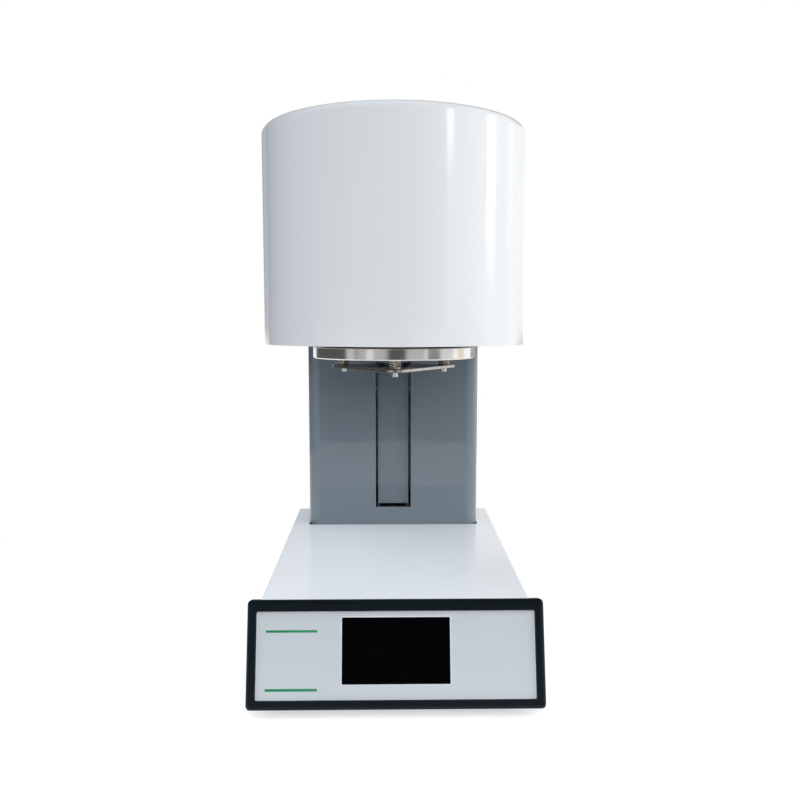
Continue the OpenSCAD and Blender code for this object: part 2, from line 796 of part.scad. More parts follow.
module fan_frame() {
  hub_t = 4;
  color([0.07, 0.07, 0.08]) {
    difference() {
      on_rear(-panel_x, fan_z) {
        difference() {
          translate([0, 0, -sheet - fan_t]) linear_extrude(fan_t) round_rect(fan_w, fan_w, 4);
          translate([0, 0, -sheet - fan_t - over]) cylinder(h = fan_t + 2 * over, r = fan_bore_r);
        }
        translate([0, 0, -sheet - hub_t]) cylinder(h = hub_t, r = fan_hub_r);
        for (a = [0, 120, 240]) rotate([0, 0, a]) translate([0, -1.5, -sheet - hub_t])
          cube([fan_bore_r + 1, 3, hub_t]);
        translate([0, 0, -sheet - fan_t + 4]) cylinder(h = fan_t - 4, r = 2, $fn = 32);
      }
      fan_screw_places(-sheet - fan_t - over) cylinder(h = fan_t + 2 * over, r = 1.5 + seat_fit, $fn = 24);
    }
  }
}

module fan_guard() {
  wire_w = 1.4;
  color("silver") difference() {
    on_rear(-panel_x, fan_z) {
      for (r = [fan_bore_r + 1.2, fan_bore_r * 0.72, fan_bore_r * 0.42]) difference() {
        cylinder(h = guard_t, r = r);
        translate([0, 0, -over]) cylinder(h = guard_t + 2 * over, r = r - wire_w);
      }
      for (a = [45, 135]) rotate([0, 0, a]) translate([-fan_w * 0.62, -wire_w / 2, 0])
        cube([fan_w * 1.24, wire_w, guard_t]);
      for (x = [-1, 1], y = [-1, 1])
        translate([x * (fan_w / 2 - 5), y * (fan_w / 2 - 5), 0]) cylinder(h = guard_t, r = 3.6);
    }
    fan_screw_places(-over) cylinder(h = guard_t + 2 * over, r = 1.5 + gap, $fn = 24);
  }
}

// Hub and tilted blades that turn on the fan frame's stub
module fan_rotor() {
  hub_top = -sheet - 5;
  hub_h = fan_t - 7;
  blade_r = fan_bore_r - 1.5;
  color([0.12, 0.12, 0.13]) on_rear(-panel_x, fan_z) difference() {
    union() {
      translate([0, 0, hub_top - hub_h]) cylinder(h = hub_h, r = fan_hub_r);
      intersection() {
        for (i = [0 : fan_blades - 1]) rotate([0, 0, i * 360 / fan_blades])
          translate([blade_r / 2, 0, hub_top - hub_h / 2]) rotate([38, 0, 0])
            cube([blade_r + 2, 14, 1.2], center = true);
        translate([0, 0, hub_top - hub_h]) cylinder(h = hub_h, r = blade_r);
      }
    }
    translate([0, 0, hub_top - hub_h + 1.5]) cylinder(h = hub_h, r = 2 + run_fit, $fn = 32);
  }
}

module column_shell() {
  height = floor_z - gap - column_foot_z;
  slot_h = slot_top_z - slot_sill_z;
  color([0.42, 0.47, 0.51]) {
    difference() {
      at(column_face, column_foot_z) linear_extrude(height) difference() {
        column_plan(column_w, column_back - column_face, column_r);
        translate([0, sheet]) column_plan(column_w - 2 * sheet, base_d, column_r - sheet);
      }
      at(column_face - over, slot_sill_z, -slot_w / 2) cube([slot_w, sheet + 2 * over, slot_h]);
    }
    for (s = [-1, 1]) at(column_face, slot_sill_z, s * (slot_w + sheet) / 2 - sheet / 2)
      cube([sheet, slot_lip, slot_h]);
    at(column_face, slot_sill_z - sheet, -slot_w / 2 - sheet) cube([slot_w + 2 * sheet, slot_lip, sheet]);
  }
}

module column_rear_cover() {
  low_z = deck_z(base_d) - sheet;
  color([0.42, 0.47, 0.51]) difference() {
    at(base_d - sheet, low_z, -column_w / 2) cube([column_w, sheet, head_z - gap - low_z]);
    panel_screw_places() cylinder(h = 4 * sheet, r = 1.5 + gap, center = true, $fn = 24);
    for (i = [0 : 5], s = [-1, 1]) on_rear(s * column_w / 4, head_z - 60 + i * 7)
      linear_extrude(4 * sheet, center = true) round_rect(vent_l, vent_w, vent_w / 2 - 0.05);
  }
}

// Channel that closes the middle of the slot; its flanges run down to the lower plate
module slot_strip() {
  foot_z = slot_sill_z + strip_foot_gap;
  top_z = floor_z - gap;
  strip_d = column_face + strip_recess;
  color([0.42, 0.47, 0.51]) {
    at(strip_d, foot_z, -strip_w / 2) cube([strip_w, sheet, top_z - foot_z]);
    for (s = [-1, 1]) at(strip_d + sheet, lower_plate_z, s * (strip_w - sheet) / 2 - sheet / 2)
      cube([sheet, plate_front - strip_d - sheet, top_z - lower_plate_z]);
  }
}

module mast() {
  color([0.6, 0.62, 0.64]) difference() {
    at(mast_face - mast_flange, floor_top_z, -mast_w / 2)
      cube([mast_w, mast_flange + mast_t, floor_z - floor_top_z]);
    at(mast_face - mast_flange - over, floor_top_z - over, mast_t - mast_w / 2)
      cube([mast_w - 2 * mast_t, mast_flange + over, floor_z - floor_top_z + 2 * over]);
    for (z = mast_hole_heights)
      at(mast_face - over, z) rotate([-90, 0, 0]) cylinder(h = mast_t + 2 * over, r = mast_hole_r);
  }
}

// Axes of the two guide shafts
module guide_places(z) {
  for (s = [-1, 1]) at(mech_d, z, s * guide_gap / 2) children();
}

// Block that ties the guide shafts to the mast
module end_plate(z, t) {
  difference() {
    at(plate_front, z, -end_plate_w / 2) cube([end_plate_w, mast_face - plate_front, t]);
    guide_places(z - over) cylinder(h = t + 2 * over, r = guide_r + seat_fit);
    children();
  }
}

module upper_plate() {
  color("silver") end_plate(upper_plate_z, upper_plate_t) {
    at(mech_d, upper_plate_z - over) cylinder(h = bearing_t + over, r = bearing_r + seat_fit);
    at(mech_d, upper_plate_z) cylinder(h = upper_plate_t + over, r = screw_r - 1);
  }
}

module lower_plate() {
  color("silver") end_plate(lower_plate_z, lower_plate_t)
    at(mech_d, lower_plate_z - over)
      cylinder(h = lower_plate_t + 2 * over, r = bearing_r + seat_fit);
}

// Plate under the coupling, hung from the lower plate on four posts
module motor_plate() {
  color("silver") {
    difference() {
      at(mech_d, motor_plate_z) linear_extrude(motor_plate_t) round_rect(motor_w, motor_w, 5);
      at(mech_d, motor_plate_z - over)
        cylinder(h = motor_plate_t + 2 * over, r = pilot_r + seat_fit);
    }
    for (x = [-1, 1], y = [-1, 1])
      at(mech_d + y * post_gap / 2, motor_plate_z + motor_plate_t, x * post_gap / 2)
        cylinder(h = lower_plate_z - motor_plate_z - motor_plate_t, r = post_r, $fn = 32);
  }
}

pilot_r = 17;

module lift_motor() {
  cap_h = 9;
  color([0.13, 0.13, 0.14]) difference() {
    at(mech_d, motor_plate_z - motor_h) {
      linear_extrude(cap_h) round_rect(motor_w, motor_w, 5);
      linear_extrude(motor_h) round_rect(motor_w - 3, motor_w - 3, 8);
      translate([0, 0, motor_h - cap_h]) linear_extrude(cap_h) round_rect(motor_w, motor_w, 5);
      cylinder(h = motor_h + 1.6, r = pilot_r);
      translate([0, -motor_w / 2 - 4, 4]) linear_extrude(8) square([18, 10], center = true);
    }
    at(mech_d, motor_plate_z - 16) cylinder(h = 20, r = motor_shaft_r + run_fit);
  }
}

module motor_shaft() {
  color("silver") at(mech_d, motor_plate_z - 15)
    cylinder(h = coupling_z + coupling_l / 2 - 1 - motor_plate_z + 15, r = motor_shaft_r);
}

module shaft_coupling() {
  color([0.72, 0.73, 0.75]) at(mech_d, coupling_z) difference() {
    cylinder(h = coupling_l, r = coupling_r);
    translate([0, 0, -over]) cylinder(h = coupling_l / 2 + over, r = motor_shaft_r + seat_fit);
    translate([0, 0, coupling_l / 2]) cylinder(h = coupling_l, r = screw_r + seat_fit);
    for (z = [0.35, 0.5, 0.65]) translate([0, 0, coupling_l * z]) difference() {
      cylinder(h = 1, r = coupling_r + over, center = true);
      cylinder(h = 1 + over, r = coupling_r - 2.5, center = true);
    }
  }
}

module lead_screw() {
  low_z = coupling_z + coupling_l / 2 + 1;
  color([0.7, 0.7, 0.68]) at(mech_d, low_z)
    cylinder(h = upper_plate_z + bearing_t - 1 - low_z, r = screw_r);
}

module screw_bearings() {
  color([0.66, 0.67, 0.69]) for (z = [lower_plate_z, upper_plate_z])
    at(mech_d, z) difference() {
      cylinder(h = bearing_t, r = bearing_r);
      translate([0, 0, -over]) cylinder(h = bearing_t + 2 * over, r = screw_r + run_fit);
      for (end = [0, bearing_t]) translate([0, 0, end]) difference() {
        cylinder(h = 1, r = bearing_r - 2.5, center = true);
        cylinder(h = 1 + over, r = screw_r + 2.5, center = true);
      }
    }
}

module guide_shafts() {
  color("silver") guide_places(lower_plate_z)
    cylinder(h = floor_z - gap - lower_plate_z, r = guide_r);
}

module carriage_block() {
  color([0.62, 0.64, 0.66]) difference() {
    at(mech_d, carriage_z) linear_extrude(carriage_h) round_rect(carriage_w, carriage_d, 3);
    guide_places(carriage_z - over) cylinder(h = carriage_h + 2 * over, r = bush_r + seat_fit);
    at(mech_d, carriage_z - over) cylinder(h = nut_l - nut_flange_t + over, r = nut_r + seat_fit);
    at(mech_d, carriage_z) cylinder(h = carriage_h + over, r = screw_r + 2);
    arm_screw_places() translate([0, 0, -arm_plate_t - 9])
      cylinder(h = 9 + over, r = arm_screw_r + seat_fit, $fn = 24);
  }
}

module guide_bushes() {
  color([0.75, 0.62, 0.35]) guide_places(carriage_z) difference() {
    cylinder(h = carriage_h, r = bush_r);
    translate([0, 0, -over]) cylinder(h = carriage_h + 2 * over, r = guide_r + run_fit);
  }
}

module lead_nut() {
  color([0.72, 0.58, 0.3]) at(mech_d, carriage_z) difference() {
    union() {
      translate([0, 0, -nut_flange_t]) cylinder(h = nut_flange_t, r = nut_flange_r);
      cylinder(h = nut_l - nut_flange_t, r = nut_r);
    }
    translate([0, 0, -nut_flange_t - over]) cylinder(h = nut_l + 2 * over, r = screw_r + run_fit);
  }
}

// Axes of the screws between the arm and the carriage, heads towards the front
module arm_screw_places() {
  for (x = [-1, 1], t = [0.24, 0.76])
    at(arm_back - arm_plate_t, carriage_z + carriage_h * t, x * (cheek_out + 6))
      rotate([90, 0, 0]) children();
}

// Axes of the screws between the spider plate and the arm's tongue
module spider_screw_places() {
  for (x = [-1, 1], d = [-6, 28])
    at(head_axis + d, spider_top_z, x * (cheek_in - 7)) children();
}

// Two cheeks that reach out through the slot, a tongue between them and a back plate
module lift_arm() {
  cheek_back = arm_back - arm_plate_t / 2;
  top_z = carriage_top_z - 4;
  low_z = carriage_z + 3;
  side = [
    [tongue_front, tongue_z], [head_axis + platform_r / 2, tongue_z], [column_face - 12, arm_low_z],
    [cheek_back, arm_low_z], [cheek_back, top_z],
    [arm_rise + 10, top_z], [arm_rise, spider_z], [tongue_front, spider_z]];
  color([0.55, 0.57, 0.58]) difference() {
    union() {
      for (s = [-1, 1]) at(0, 0, s * (cheek_out + cheek_in) / 2 - cheek_t / 2)
        rotate([90, 0, 90]) linear_extrude(cheek_t) polygon(side);
      at(tongue_front, tongue_z, -cheek_out)
        cube([2 * cheek_out, column_face - 6 - tongue_front, tongue_t]);
      at(arm_back - arm_plate_t, low_z, -arm_plate_w / 2) cube([arm_plate_w, arm_plate_t, top_z - low_z]);
    }
    arm_screw_places() translate([0, 0, -arm_plate_t - over])
      cylinder(h = arm_plate_t + 2 * over, r = arm_screw_r + seat_fit, $fn = 24);
    spider_screw_places() translate([0, 0, tongue_z - spider_top_z - over])
      cylinder(h = tongue_t + spider_t + 2 * over, r = arm_screw_r + seat_fit, $fn = 24);
  }
}

module arm_screws() {
  color("silver") {
    arm_screw_places() button_screw(arm_screw_head_r, arm_screw_head_t, arm_screw_r, arm_plate_t + 8);
    spider_screw_places()
      button_screw(arm_screw_head_r, arm_screw_head_t, arm_screw_r, spider_t + tongue_t);
  }
}

// Axes of the three platform bolts
module bolt_places(z) {
  for (a = bolt_angles) at(head_axis, z) rotate([0, 0, a]) translate([bolt_circle_r, 0, 0]) children();
}

// Three-cornered plate with round tips under the springs
module spider_plate() {
  outline = [for (a = bolt_angles, s = [-60 : spider_arc : 60])
    bolt_circle_r * [cos(a), sin(a)] + spider_corner_r * [cos(a + s), sin(a + s)]];
  color([0.6, 0.6, 0.6]) difference() {
    at(head_axis, spider_z) linear_extrude(spider_t) polygon(outline);
    bolt_places(spider_z - over) cylinder(h = spider_t + 2 * over, r = bolt_r + gap, $fn = 32);
    spider_screw_places() translate([0, 0, -spider_t - over])
      cylinder(h = spider_t + 2 * over, r = arm_screw_r + seat_fit, $fn = 24);
  }
}

spring_rings = 8;
spring_path = helix((spring_d - spring_wire) / 2, spring_wire / 2, spring_h - spring_wire / 2,
  spring_turns, 90, spring_rings);
echo(least_gap_of_platform_spring = turn_gap(spring_path, spring_wire, spring_rings));

module platform_springs() {
  color([0.8, 0.8, 0.8]) bolt_places(spider_top_z) wire(spring_path, spring_wire / 2);
}

module platform() {
  ease = 0.8;
  groove_w = seal_d + 0.4;
  land_r = bolt_circle_r - spring_d / 2 - 4;
  color([0.7, 0.7, 0.7]) difference() {
    at(head_axis, platform_z) rotate_extrude($fn = 128) difference() {
      polygon([[0, 0], [platform_r - 1.2, 0], [platform_r, 1.2], [platform_r, platform_t - ease],
        [platform_r - ease, platform_t], [0, platform_t]]);
      translate([seal_r - groove_w / 2, platform_t - seal_groove]) square([groove_w, seal_groove + over]);
      translate([-over, -over]) square([land_r + over, 5 + over]);
    }
    bolt_places(platform_z - over) cylinder(h = bolt_bite + over, r = bolt_r + seat_fit, $fn = 32);
  }
}

module platform_seal() {
  color([0.75, 0.25, 0.15]) at(head_axis, platform_top_z - seal_groove + seal_d / 2)
    rotate_extrude($fn = 128) translate([seal_r, 0]) circle(seal_d / 2, $fn = 32);
}

module platform_bolts() {
  head_z0 = spider_z - bolt_drop - bolt_head_h;
  color("silver") bolt_places(head_z0) {
    difference() {
      cylinder(h = bolt_head_h, r = bolt_head_r, $fn = 32);
      translate([0, 0, -over]) cylinder(h = over + 2, r = bolt_r * 0.9, $fn = 6);
    }
    cylinder(h = platform_z + bolt_bite - 0.5 - head_z0, r = bolt_r, $fn = 32);
  }
}

module pedestal() {
  ease = 1.5;
  color([0.93, 0.92, 0.88]) at(head_axis, platform_top_z) rotate_extrude($fn = 96) difference() {
    polygon([[0, 0], [pedestal_r, 0], [pedestal_r, pedestal_h - ease],
      [pedestal_r - ease, pedestal_h], [0, pedestal_h]]);
    translate([-over, pedestal_h - tray_seat]) square([tray_r + gap + over, tray_seat + over]);
  }
}

// Honeycomb tray: a round plate with rows of blind pin holes
module firing_tray() {
  n = ceil(tray_r / tray_pitch);
  places = [for (i = [-2 * n : 2 * n], j = [-n : n])
    let (p = tray_pitch * [i + j / 2, j * sin(60)])
    if (norm(p) < tray_r - tray_hole_r - 3) p];
  color([0.85, 0.8, 0.72]) at(head_axis, tray_z) difference() {
    rotate_extrude($fn = 96) eased_half_section(tray_r, tray_t, 1);
    for (p = places) translate([p.x, p.y, tray_t - 5]) cylinder(h = 5 + over, r = tray_hole_r, $fn = 24);
  }
}

module head_housing() {
  reach = base_d - head_axis;
  color("white") at(head_axis, head_z) difference() {
    head_form(head_r, head_h, head_edge_r, reach);
    translate([0, 0, -over])
      head_form(head_r - sheet, head_h - sheet + over, head_edge_r - sheet, reach + over);
  }
}

module head_rear_cover() {
  inset = sheet + gap;
  color([0.86, 0.87, 0.88]) difference() {
    intersection() {
      at(head_axis, head_z) head_form(head_r - inset, head_h - inset, head_edge_r - inset, far / 2);
      translate([-head_r, rear_y - sheet, head_z]) cube([2 * head_r, sheet, head_h]);
    }
    panel_screw_places() cylinder(h = 4 * sheet, r = 1.5 + gap, center = true, $fn = 24);
    for (i = [0 : 11], s = [-1, 1]) on_rear(s * head_r / 2, head_z + head_h / 2 + (i - 5.5) * 8)
      linear_extrude(4 * sheet, center = true) round_rect(vent_l * 1.4, vent_w, vent_w / 2 - 0.05);
  }
}

// Axes of the screws that clamp the bell's foot and the flange to the floor plate
module flange_screw_places(z) {
  for (i = [0 : flange_screws_n - 1]) at(head_axis, z)
    rotate([0, 0, (i + 0.5) * 360 / flange_screws_n]) translate([flange_screw_ring, 0, 0]) children();
}

module head_floor() {
  r = head_r - sheet - gap;
  color("silver") difference() {
    at(head_axis, floor_z) linear_extrude(floor_t) {
      circle(r);
      translate([-r, 0]) square([2 * r, column_back - head_axis]);
    }
    at(head_axis, floor_z - over) cylinder(h = floor_t + 2 * over, r = flange_nose_r + gap, $fn = 96);
    flange_screw_places(floor_z - over) cylinder(h = floor_t + 2 * over, r = 2 + seat_fit, $fn = 24);
    at(pipe_d, floor_z - over, -side_run_x) cylinder(h = floor_t + 2 * over, r = pipe_r + 1);
    at(pipe_d, floor_z - over, side_run_x) cylinder(h = floor_t + 2 * over, r = 9);
  }
}

module muffle_flange() {
  color([0.7, 0.7, 0.7]) difference() {
    at(head_axis) rotate_extrude($fn = 128) polygon([
      [flange_bore_r, seal_face_z], [flange_nose_r - 0.6, seal_face_z],
      [flange_nose_r, seal_face_z + 0.6], [flange_nose_r, flange_top_z - flange_t],
      [flange_r, flange_top_z - flange_t], [flange_r, flange_top_z], [flange_bore_r, flange_top_z]]);
    flange_screw_places(floor_z) cylinder(h = flange_top_z, r = 2 + gap, $fn = 24);
  }
}

module flange_screws() {
  color("silver") flange_screw_places(flange_top_z + bell_foot_t)
    button_screw(3.6, 2.4, 2, bell_foot_t + flange_t + floor_t);
}

// Passages of the thermocouple and the two coil leads, through lid, lining and bell
module top_passages(z, h) {
  at(head_axis, z) cylinder(h = h, r = sheath_r + gap, $fn = 32);
  for (s = [-1, 1]) at(head_axis, z, s * lead_ring) cylinder(h = h, r = lead_r + gap, $fn = 32);
}

module vacuum_bell() {
  edge = 8;
  color([0.75, 0.76, 0.77]) difference() {
    at(head_axis, flange_top_z) rotate_extrude($fn = 128) difference() {
      union() {
        eased_half_section(bell_r, bell_h, edge);
        square([flange_r, bell_foot_t]);
      }
      translate([-over, -over])
        square([bell_r - bell_wall + over, bell_h - edge + over]);
      eased_half_section(bell_r - bell_wall, bell_h - bell_wall, edge - bell_wall);
    }
    top_passages(bell_top_z - 2 * bell_wall, 3 * bell_wall);
    flange_screw_places(flange_top_z - over) cylinder(h = bell_foot_t + 2 * over, r = 2 + gap, $fn = 24);
    at(head_axis + bell_r - 2 * bell_wall, pipe_z) rotate([-90, 0, 0])
      cylinder(h = 3 * bell_wall, r = pipe_r + seat_fit);
  }
}

module muffle_lining() {
  inner = muffle_r + muffle_wall + gap;
  color([0.95, 0.94, 0.9]) at(head_axis) rotate_extrude($fn = 96) polygon([
    [flange_bore_r, flange_top_z], [lining_r, flange_top_z], [lining_r, muffle_top_z],
    [inner, muffle_top_z], [inner, muffle_z], [flange_bore_r, muffle_z]]);
}

module lining_cap() {
  color([0.95, 0.94, 0.9]) difference() {
    at(head_axis, muffle_top_z) rotate_extrude($fn = 96)
      eased_half_section(lining_r, lining_top_z - muffle_top_z, 8);
    top_passages(muffle_top_z - over, lining_top_z);
  }
}

module heating_muffle() {
  color([0.9, 0.88, 0.84]) difference() {
    at(head_axis, muffle_z) rotate_extrude($fn = 96) difference() {
      square([muffle_r + muffle_wall, muffle_h]);
      translate([-over, -over]) square([muffle_r + over, muffle_h - muffle_roof + over]);
    }
    top_passages(muffle_top_z - 2 * muffle_roof, 3 * muffle_roof);
  }
}

// Resistance wire: a helix whose two ends turn in to the leads
coil_rings = 24;
coil_n = (coil_turns + 0.5) * coil_rings;
coil_path = [for (i = [0 : coil_n])
  let (a = 180 + 360 * i / coil_rings, turn_in = max(0, 1 - i / 6, 1 - (coil_n - i) / 6))
  let (r = coil_r - (coil_r - lead_ring) * turn_in)
  [r * cos(a), r * sin(a), (coil_high_z - coil_low_z) * i / coil_n]];
echo(least_gap_of_heating_coil = turn_gap(coil_path, coil_wire, coil_rings));

module heating_coil() {
  color([0.6, 0.45, 0.35]) at(head_axis, coil_low_z) wire(coil_path, coil_wire / 2);
}

module coil_leads() {
  color([0.75, 0.72, 0.66]) for (s = [-1, 1]) at(head_axis, 0, s * lead_ring) {
    low_z = s < 0 ? coil_low_z : coil_high_z;
    translate([0, 0, low_z]) cylinder(h = lead_top_z - low_z, r = lead_r, $fn = 32);
    translate([0, 0, bell_top_z]) cylinder(h = 10, r = 6, $fn = 32);
  }
}

module thermocouple() {
  color([0.8, 0.8, 0.8]) at(head_axis) {
    translate([0, 0, sheath_low_z]) cylinder(h = bell_top_z + 16 - sheath_low_z, r = sheath_r, $fn = 32);
    translate([0, 0, bell_top_z]) cylinder(h = 8, r = 8, $fn = 6);
    translate([-7, -9, bell_top_z + 14]) cube([14, 18, 12]);
  }
}

// Quarter bend that starts along +X and turns to +Y, about a point on the +Y side
module pipe_bend() {
  translate([0, pipe_bend_r, 0]) rotate([0, 0, -90]) rotate_extrude(angle = 90)
    translate([pipe_bend_r, 0]) circle(pipe_r, $fn = 32);
}

// Pipe from the bell's rear, sideways, and down through the column to the valve
module vacuum_pipe() {
  start_d = head_axis + bell_r - bell_wall;
  run_y = pipe_d - pipe_bend_r - start_d;
  run_x = side_run_x - 2 * pipe_bend_r;
  drop_z = spigot_z + valve_w / 2 - 8;
  color([0.72, 0.45, 0.3]) {
    at(start_d, pipe_z) rotate([-90, 0, 0]) cylinder(h = run_y, r = pipe_r, $fn = 32);
    at(start_d + run_y, pipe_z) rotate([0, 0, 90]) pipe_bend();
    at(pipe_d, pipe_z, -pipe_bend_r) rotate([0, -90, 0]) cylinder(h = run_x, r = pipe_r, $fn = 32);
    at(pipe_d, pipe_z, -pipe_bend_r - run_x) rotate([0, 0, 180]) rotate([90, 0, 0])
      mirror([0, 1, 0]) pipe_bend();
    at(pipe_d, drop_z, -side_run_x) cylinder(h = pipe_z - pipe_bend_r - drop_z, r = pipe_r, $fn = 32);
  }
}

chassis();
rubber_feet();
front_plate();
rear_panel();
deck_cover();
cover_screws();
front_frame();
fascia();
touch_glass();
display_module();
control_board();
power_supply();
heater_relay();
vacuum_valve();
hose_spigot();
power_inlet();
switch_body();
power_rocker();
fan_frame();
fan_guard();
fan_rotor();
column_shell();
column_rear_cover();
rear_screws();
slot_strip();
mast();
upper_plate();
lower_plate();
motor_plate();
guide_shafts();
screw_bearings();
lift_motor();
motor_shaft();
shaft_coupling();
lead_screw();
carriage_block();
guide_bushes();
lead_nut();
lift_arm();
arm_screws();
spider_plate();
platform_springs();
platform();
platform_seal();
platform_bolts();
pedestal();
firing_tray();
head_housing();
head_rear_cover();
head_floor();
muffle_flange();
flange_screws();
vacuum_bell();
muffle_lining();
lining_cap();
heating_muffle();
heating_coil();
coil_leads();
thermocouple();
vacuum_pipe();
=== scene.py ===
"""Looks of the dental porcelain furnace: materials, fine pieces, studio light and camera."""
import math

import bmesh
import bpy
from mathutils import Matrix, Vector

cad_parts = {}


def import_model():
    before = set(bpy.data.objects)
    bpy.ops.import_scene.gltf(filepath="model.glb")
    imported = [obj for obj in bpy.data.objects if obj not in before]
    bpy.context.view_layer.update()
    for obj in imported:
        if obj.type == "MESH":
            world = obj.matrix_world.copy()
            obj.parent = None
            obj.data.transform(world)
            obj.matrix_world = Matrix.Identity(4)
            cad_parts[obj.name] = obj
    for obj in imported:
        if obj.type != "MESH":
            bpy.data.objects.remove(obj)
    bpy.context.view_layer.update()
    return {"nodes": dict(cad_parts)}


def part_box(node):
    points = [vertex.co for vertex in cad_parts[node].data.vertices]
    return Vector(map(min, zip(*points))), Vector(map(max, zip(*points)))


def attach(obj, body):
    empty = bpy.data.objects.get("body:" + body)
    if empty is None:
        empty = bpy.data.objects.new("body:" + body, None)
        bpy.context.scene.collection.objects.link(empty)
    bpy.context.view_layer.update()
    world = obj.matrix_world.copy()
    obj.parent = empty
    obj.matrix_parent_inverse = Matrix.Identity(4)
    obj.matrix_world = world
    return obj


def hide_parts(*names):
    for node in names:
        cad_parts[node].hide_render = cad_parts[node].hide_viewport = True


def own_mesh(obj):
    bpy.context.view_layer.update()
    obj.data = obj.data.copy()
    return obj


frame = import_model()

NODES = frame["nodes"]
TAU = 2 * math.pi

# Places repeated from the part's source, in metres
FRONT_Y = -0.214
REAR_Y = 0.196
TILT = math.radians(15)
FRAME_EDGE_R = 0.004
SLOPE_BACK = FRAME_EDGE_R * (math.sin(TILT) + math.cos(TILT) - 1)
SLOPE_FOOT_Z = 0.008
FASCIA_N = 0.003
HEAD_AXIS = Vector((0, -0.026, 0))
MECH_AXIS = Vector((0, 0.151, 0))
SPIDER_TOP_Z = 0.3365
SPRING_H = 0.010
SPRING_R = 0.0063
SPRING_WIRE_R = 0.0007
SPRING_TURNS = 3
BOLT_CIRCLE_R = 0.0695
BOLT_ANGLES = (-90, 30, 150)
PANEL_X = 0.09725
SWITCH_Z = 0.07775
FAN_Z = 0.0495

MAT = {}        # finished materials by name


# Materials

METAL_EDGE_R = 0.0004
METAL_GRAIN = 0.00002


class NodeTree:
    """Short calls for a node tree."""

    def __init__(self, tree):
        self.tree = tree

    def node(self, kind, **settings):
        """A new node with its settings."""
        made = self.tree.nodes.new(kind)
        for key, value in settings.items():
            setattr(made, key, value)
        return made

    def link(self, a, b):
        self.tree.links.new(a, b)

    def feed(self, value, socket):
        """An output is linked to the socket, a number or a colour is set on it."""
        if isinstance(value, bpy.types.NodeSocket):
            self.link(value, socket)
        else:
            socket.default_value = (*value, 1) if isinstance(value, tuple) else value

    def add(self, kind, *values, **settings):
        """A node whose first inputs are fed in their order, and its first output."""
        made = self.node(kind, **settings)
        for value, socket in zip(values, made.inputs):
            self.feed(value, socket)
        return made.outputs[0]

    def math(self, operation, a, b):
        return self.add("ShaderNodeMath", a, b, operation=operation)

    def length(self, vector):
        made = self.node("ShaderNodeVectorMath", operation="LENGTH")
        self.link(vector, made.inputs[0])
        return made.outputs["Value"]

    def spread(self, value, low, high, out_low, out_high, kind="LINEAR"):
        """A value of low to high, mapped to out_low to out_high."""
        made = self.node("ShaderNodeMapRange", interpolation_type=kind)
        for key, number in (("Value", value), ("From Min", low), ("From Max", high),
                            ("To Min", out_low), ("To Max", out_high)):
            self.feed(number, made.inputs[key])
        return made.outputs["Result"]

    def ease(self, *values):
        """The same with a soft start and end."""
        return self.spread(*values, kind="SMOOTHSTEP")

    def mixed(self, factor, first, second):
        """Two colours, mixed by a factor. Each is a colour or an output."""
        made = self.node("ShaderNodeMix", data_type="RGBA")
        self.link(factor, made.inputs["Factor"])
        for key, colour in (("A", first), ("B", second)):
            socket = [s for s in made.inputs if s.name == key and s.type == "RGBA"][0]
            self.feed(colour, socket)
        return [s for s in made.outputs if s.type == "RGBA"][0]


class Shader(NodeTree):
    """A material that is built up by short calls and kept in MAT."""

    def __init__(self, name):
        MAT[name] = bpy.data.materials.new(name)
        MAT[name].use_nodes = True
        super().__init__(MAT[name].node_tree)
        self.bsdf = self.tree.nodes["Principled BSDF"]
        self.place = self.node("ShaderNodeTexCoord").outputs["Object"]

    def stretched(self, scale):
        """Object coordinates, scaled by three numbers."""
        made = self.node("ShaderNodeMapping")
        made.inputs["Scale"].default_value = scale
        self.link(self.place, made.inputs["Vector"])
        return made.outputs["Vector"]

    def noise(self, scale, detail=3.0, rough=0.5, place=None):
        """Cloudy noise of 0 to 1, at object coordinates or at a place."""
        made = self.node("ShaderNodeTexNoise")
        made.inputs["Scale"].default_value = scale
        made.inputs["Detail"].default_value = detail
        made.inputs["Roughness"].default_value = rough
        self.link(place or self.place, made.inputs["Vector"])
        return made.outputs["Fac"]

    def edge(self, radius):
        """1 along edges and corners, 0 on flat faces."""
        dot = self.node("ShaderNodeVectorMath", operation="DOT_PRODUCT")
        self.link(self.rounded(radius), dot.inputs[0])
        self.link(self.node("ShaderNodeNewGeometry").outputs["Normal"], dot.inputs[1])
        return self.spread(dot.outputs["Value"], 0.99, 0.80, 0.0, 1.0)

    def bump(self, height, distance, strength, before):
        """A normal, bumped by a height on top of the normal before it."""
        made = self.node("ShaderNodeBump")
        made.inputs["Strength"].default_value = strength
        made.inputs["Distance"].default_value = distance
        self.link(height, made.inputs["Height"])
        self.link(before, made.inputs["Normal"])
        return made.outputs["Normal"]

    def rounded(self, radius):
        """A normal that rounds the edges by a radius."""
        bevel = self.node("ShaderNodeBevel", samples=4)
        bevel.inputs["Radius"].default_value = radius
        return bevel.outputs["Normal"]

    def set(self, **values):
        """Numbers and colours go on the sockets, outputs are linked to them."""
        for key, value in values.items():
            self.feed(value, self.bsdf.inputs[key.replace("_", " ")])


def shade(colour, k):
    """A colour, lighter or darker by a factor."""
    return tuple(min(1, c * k) for c in colour)


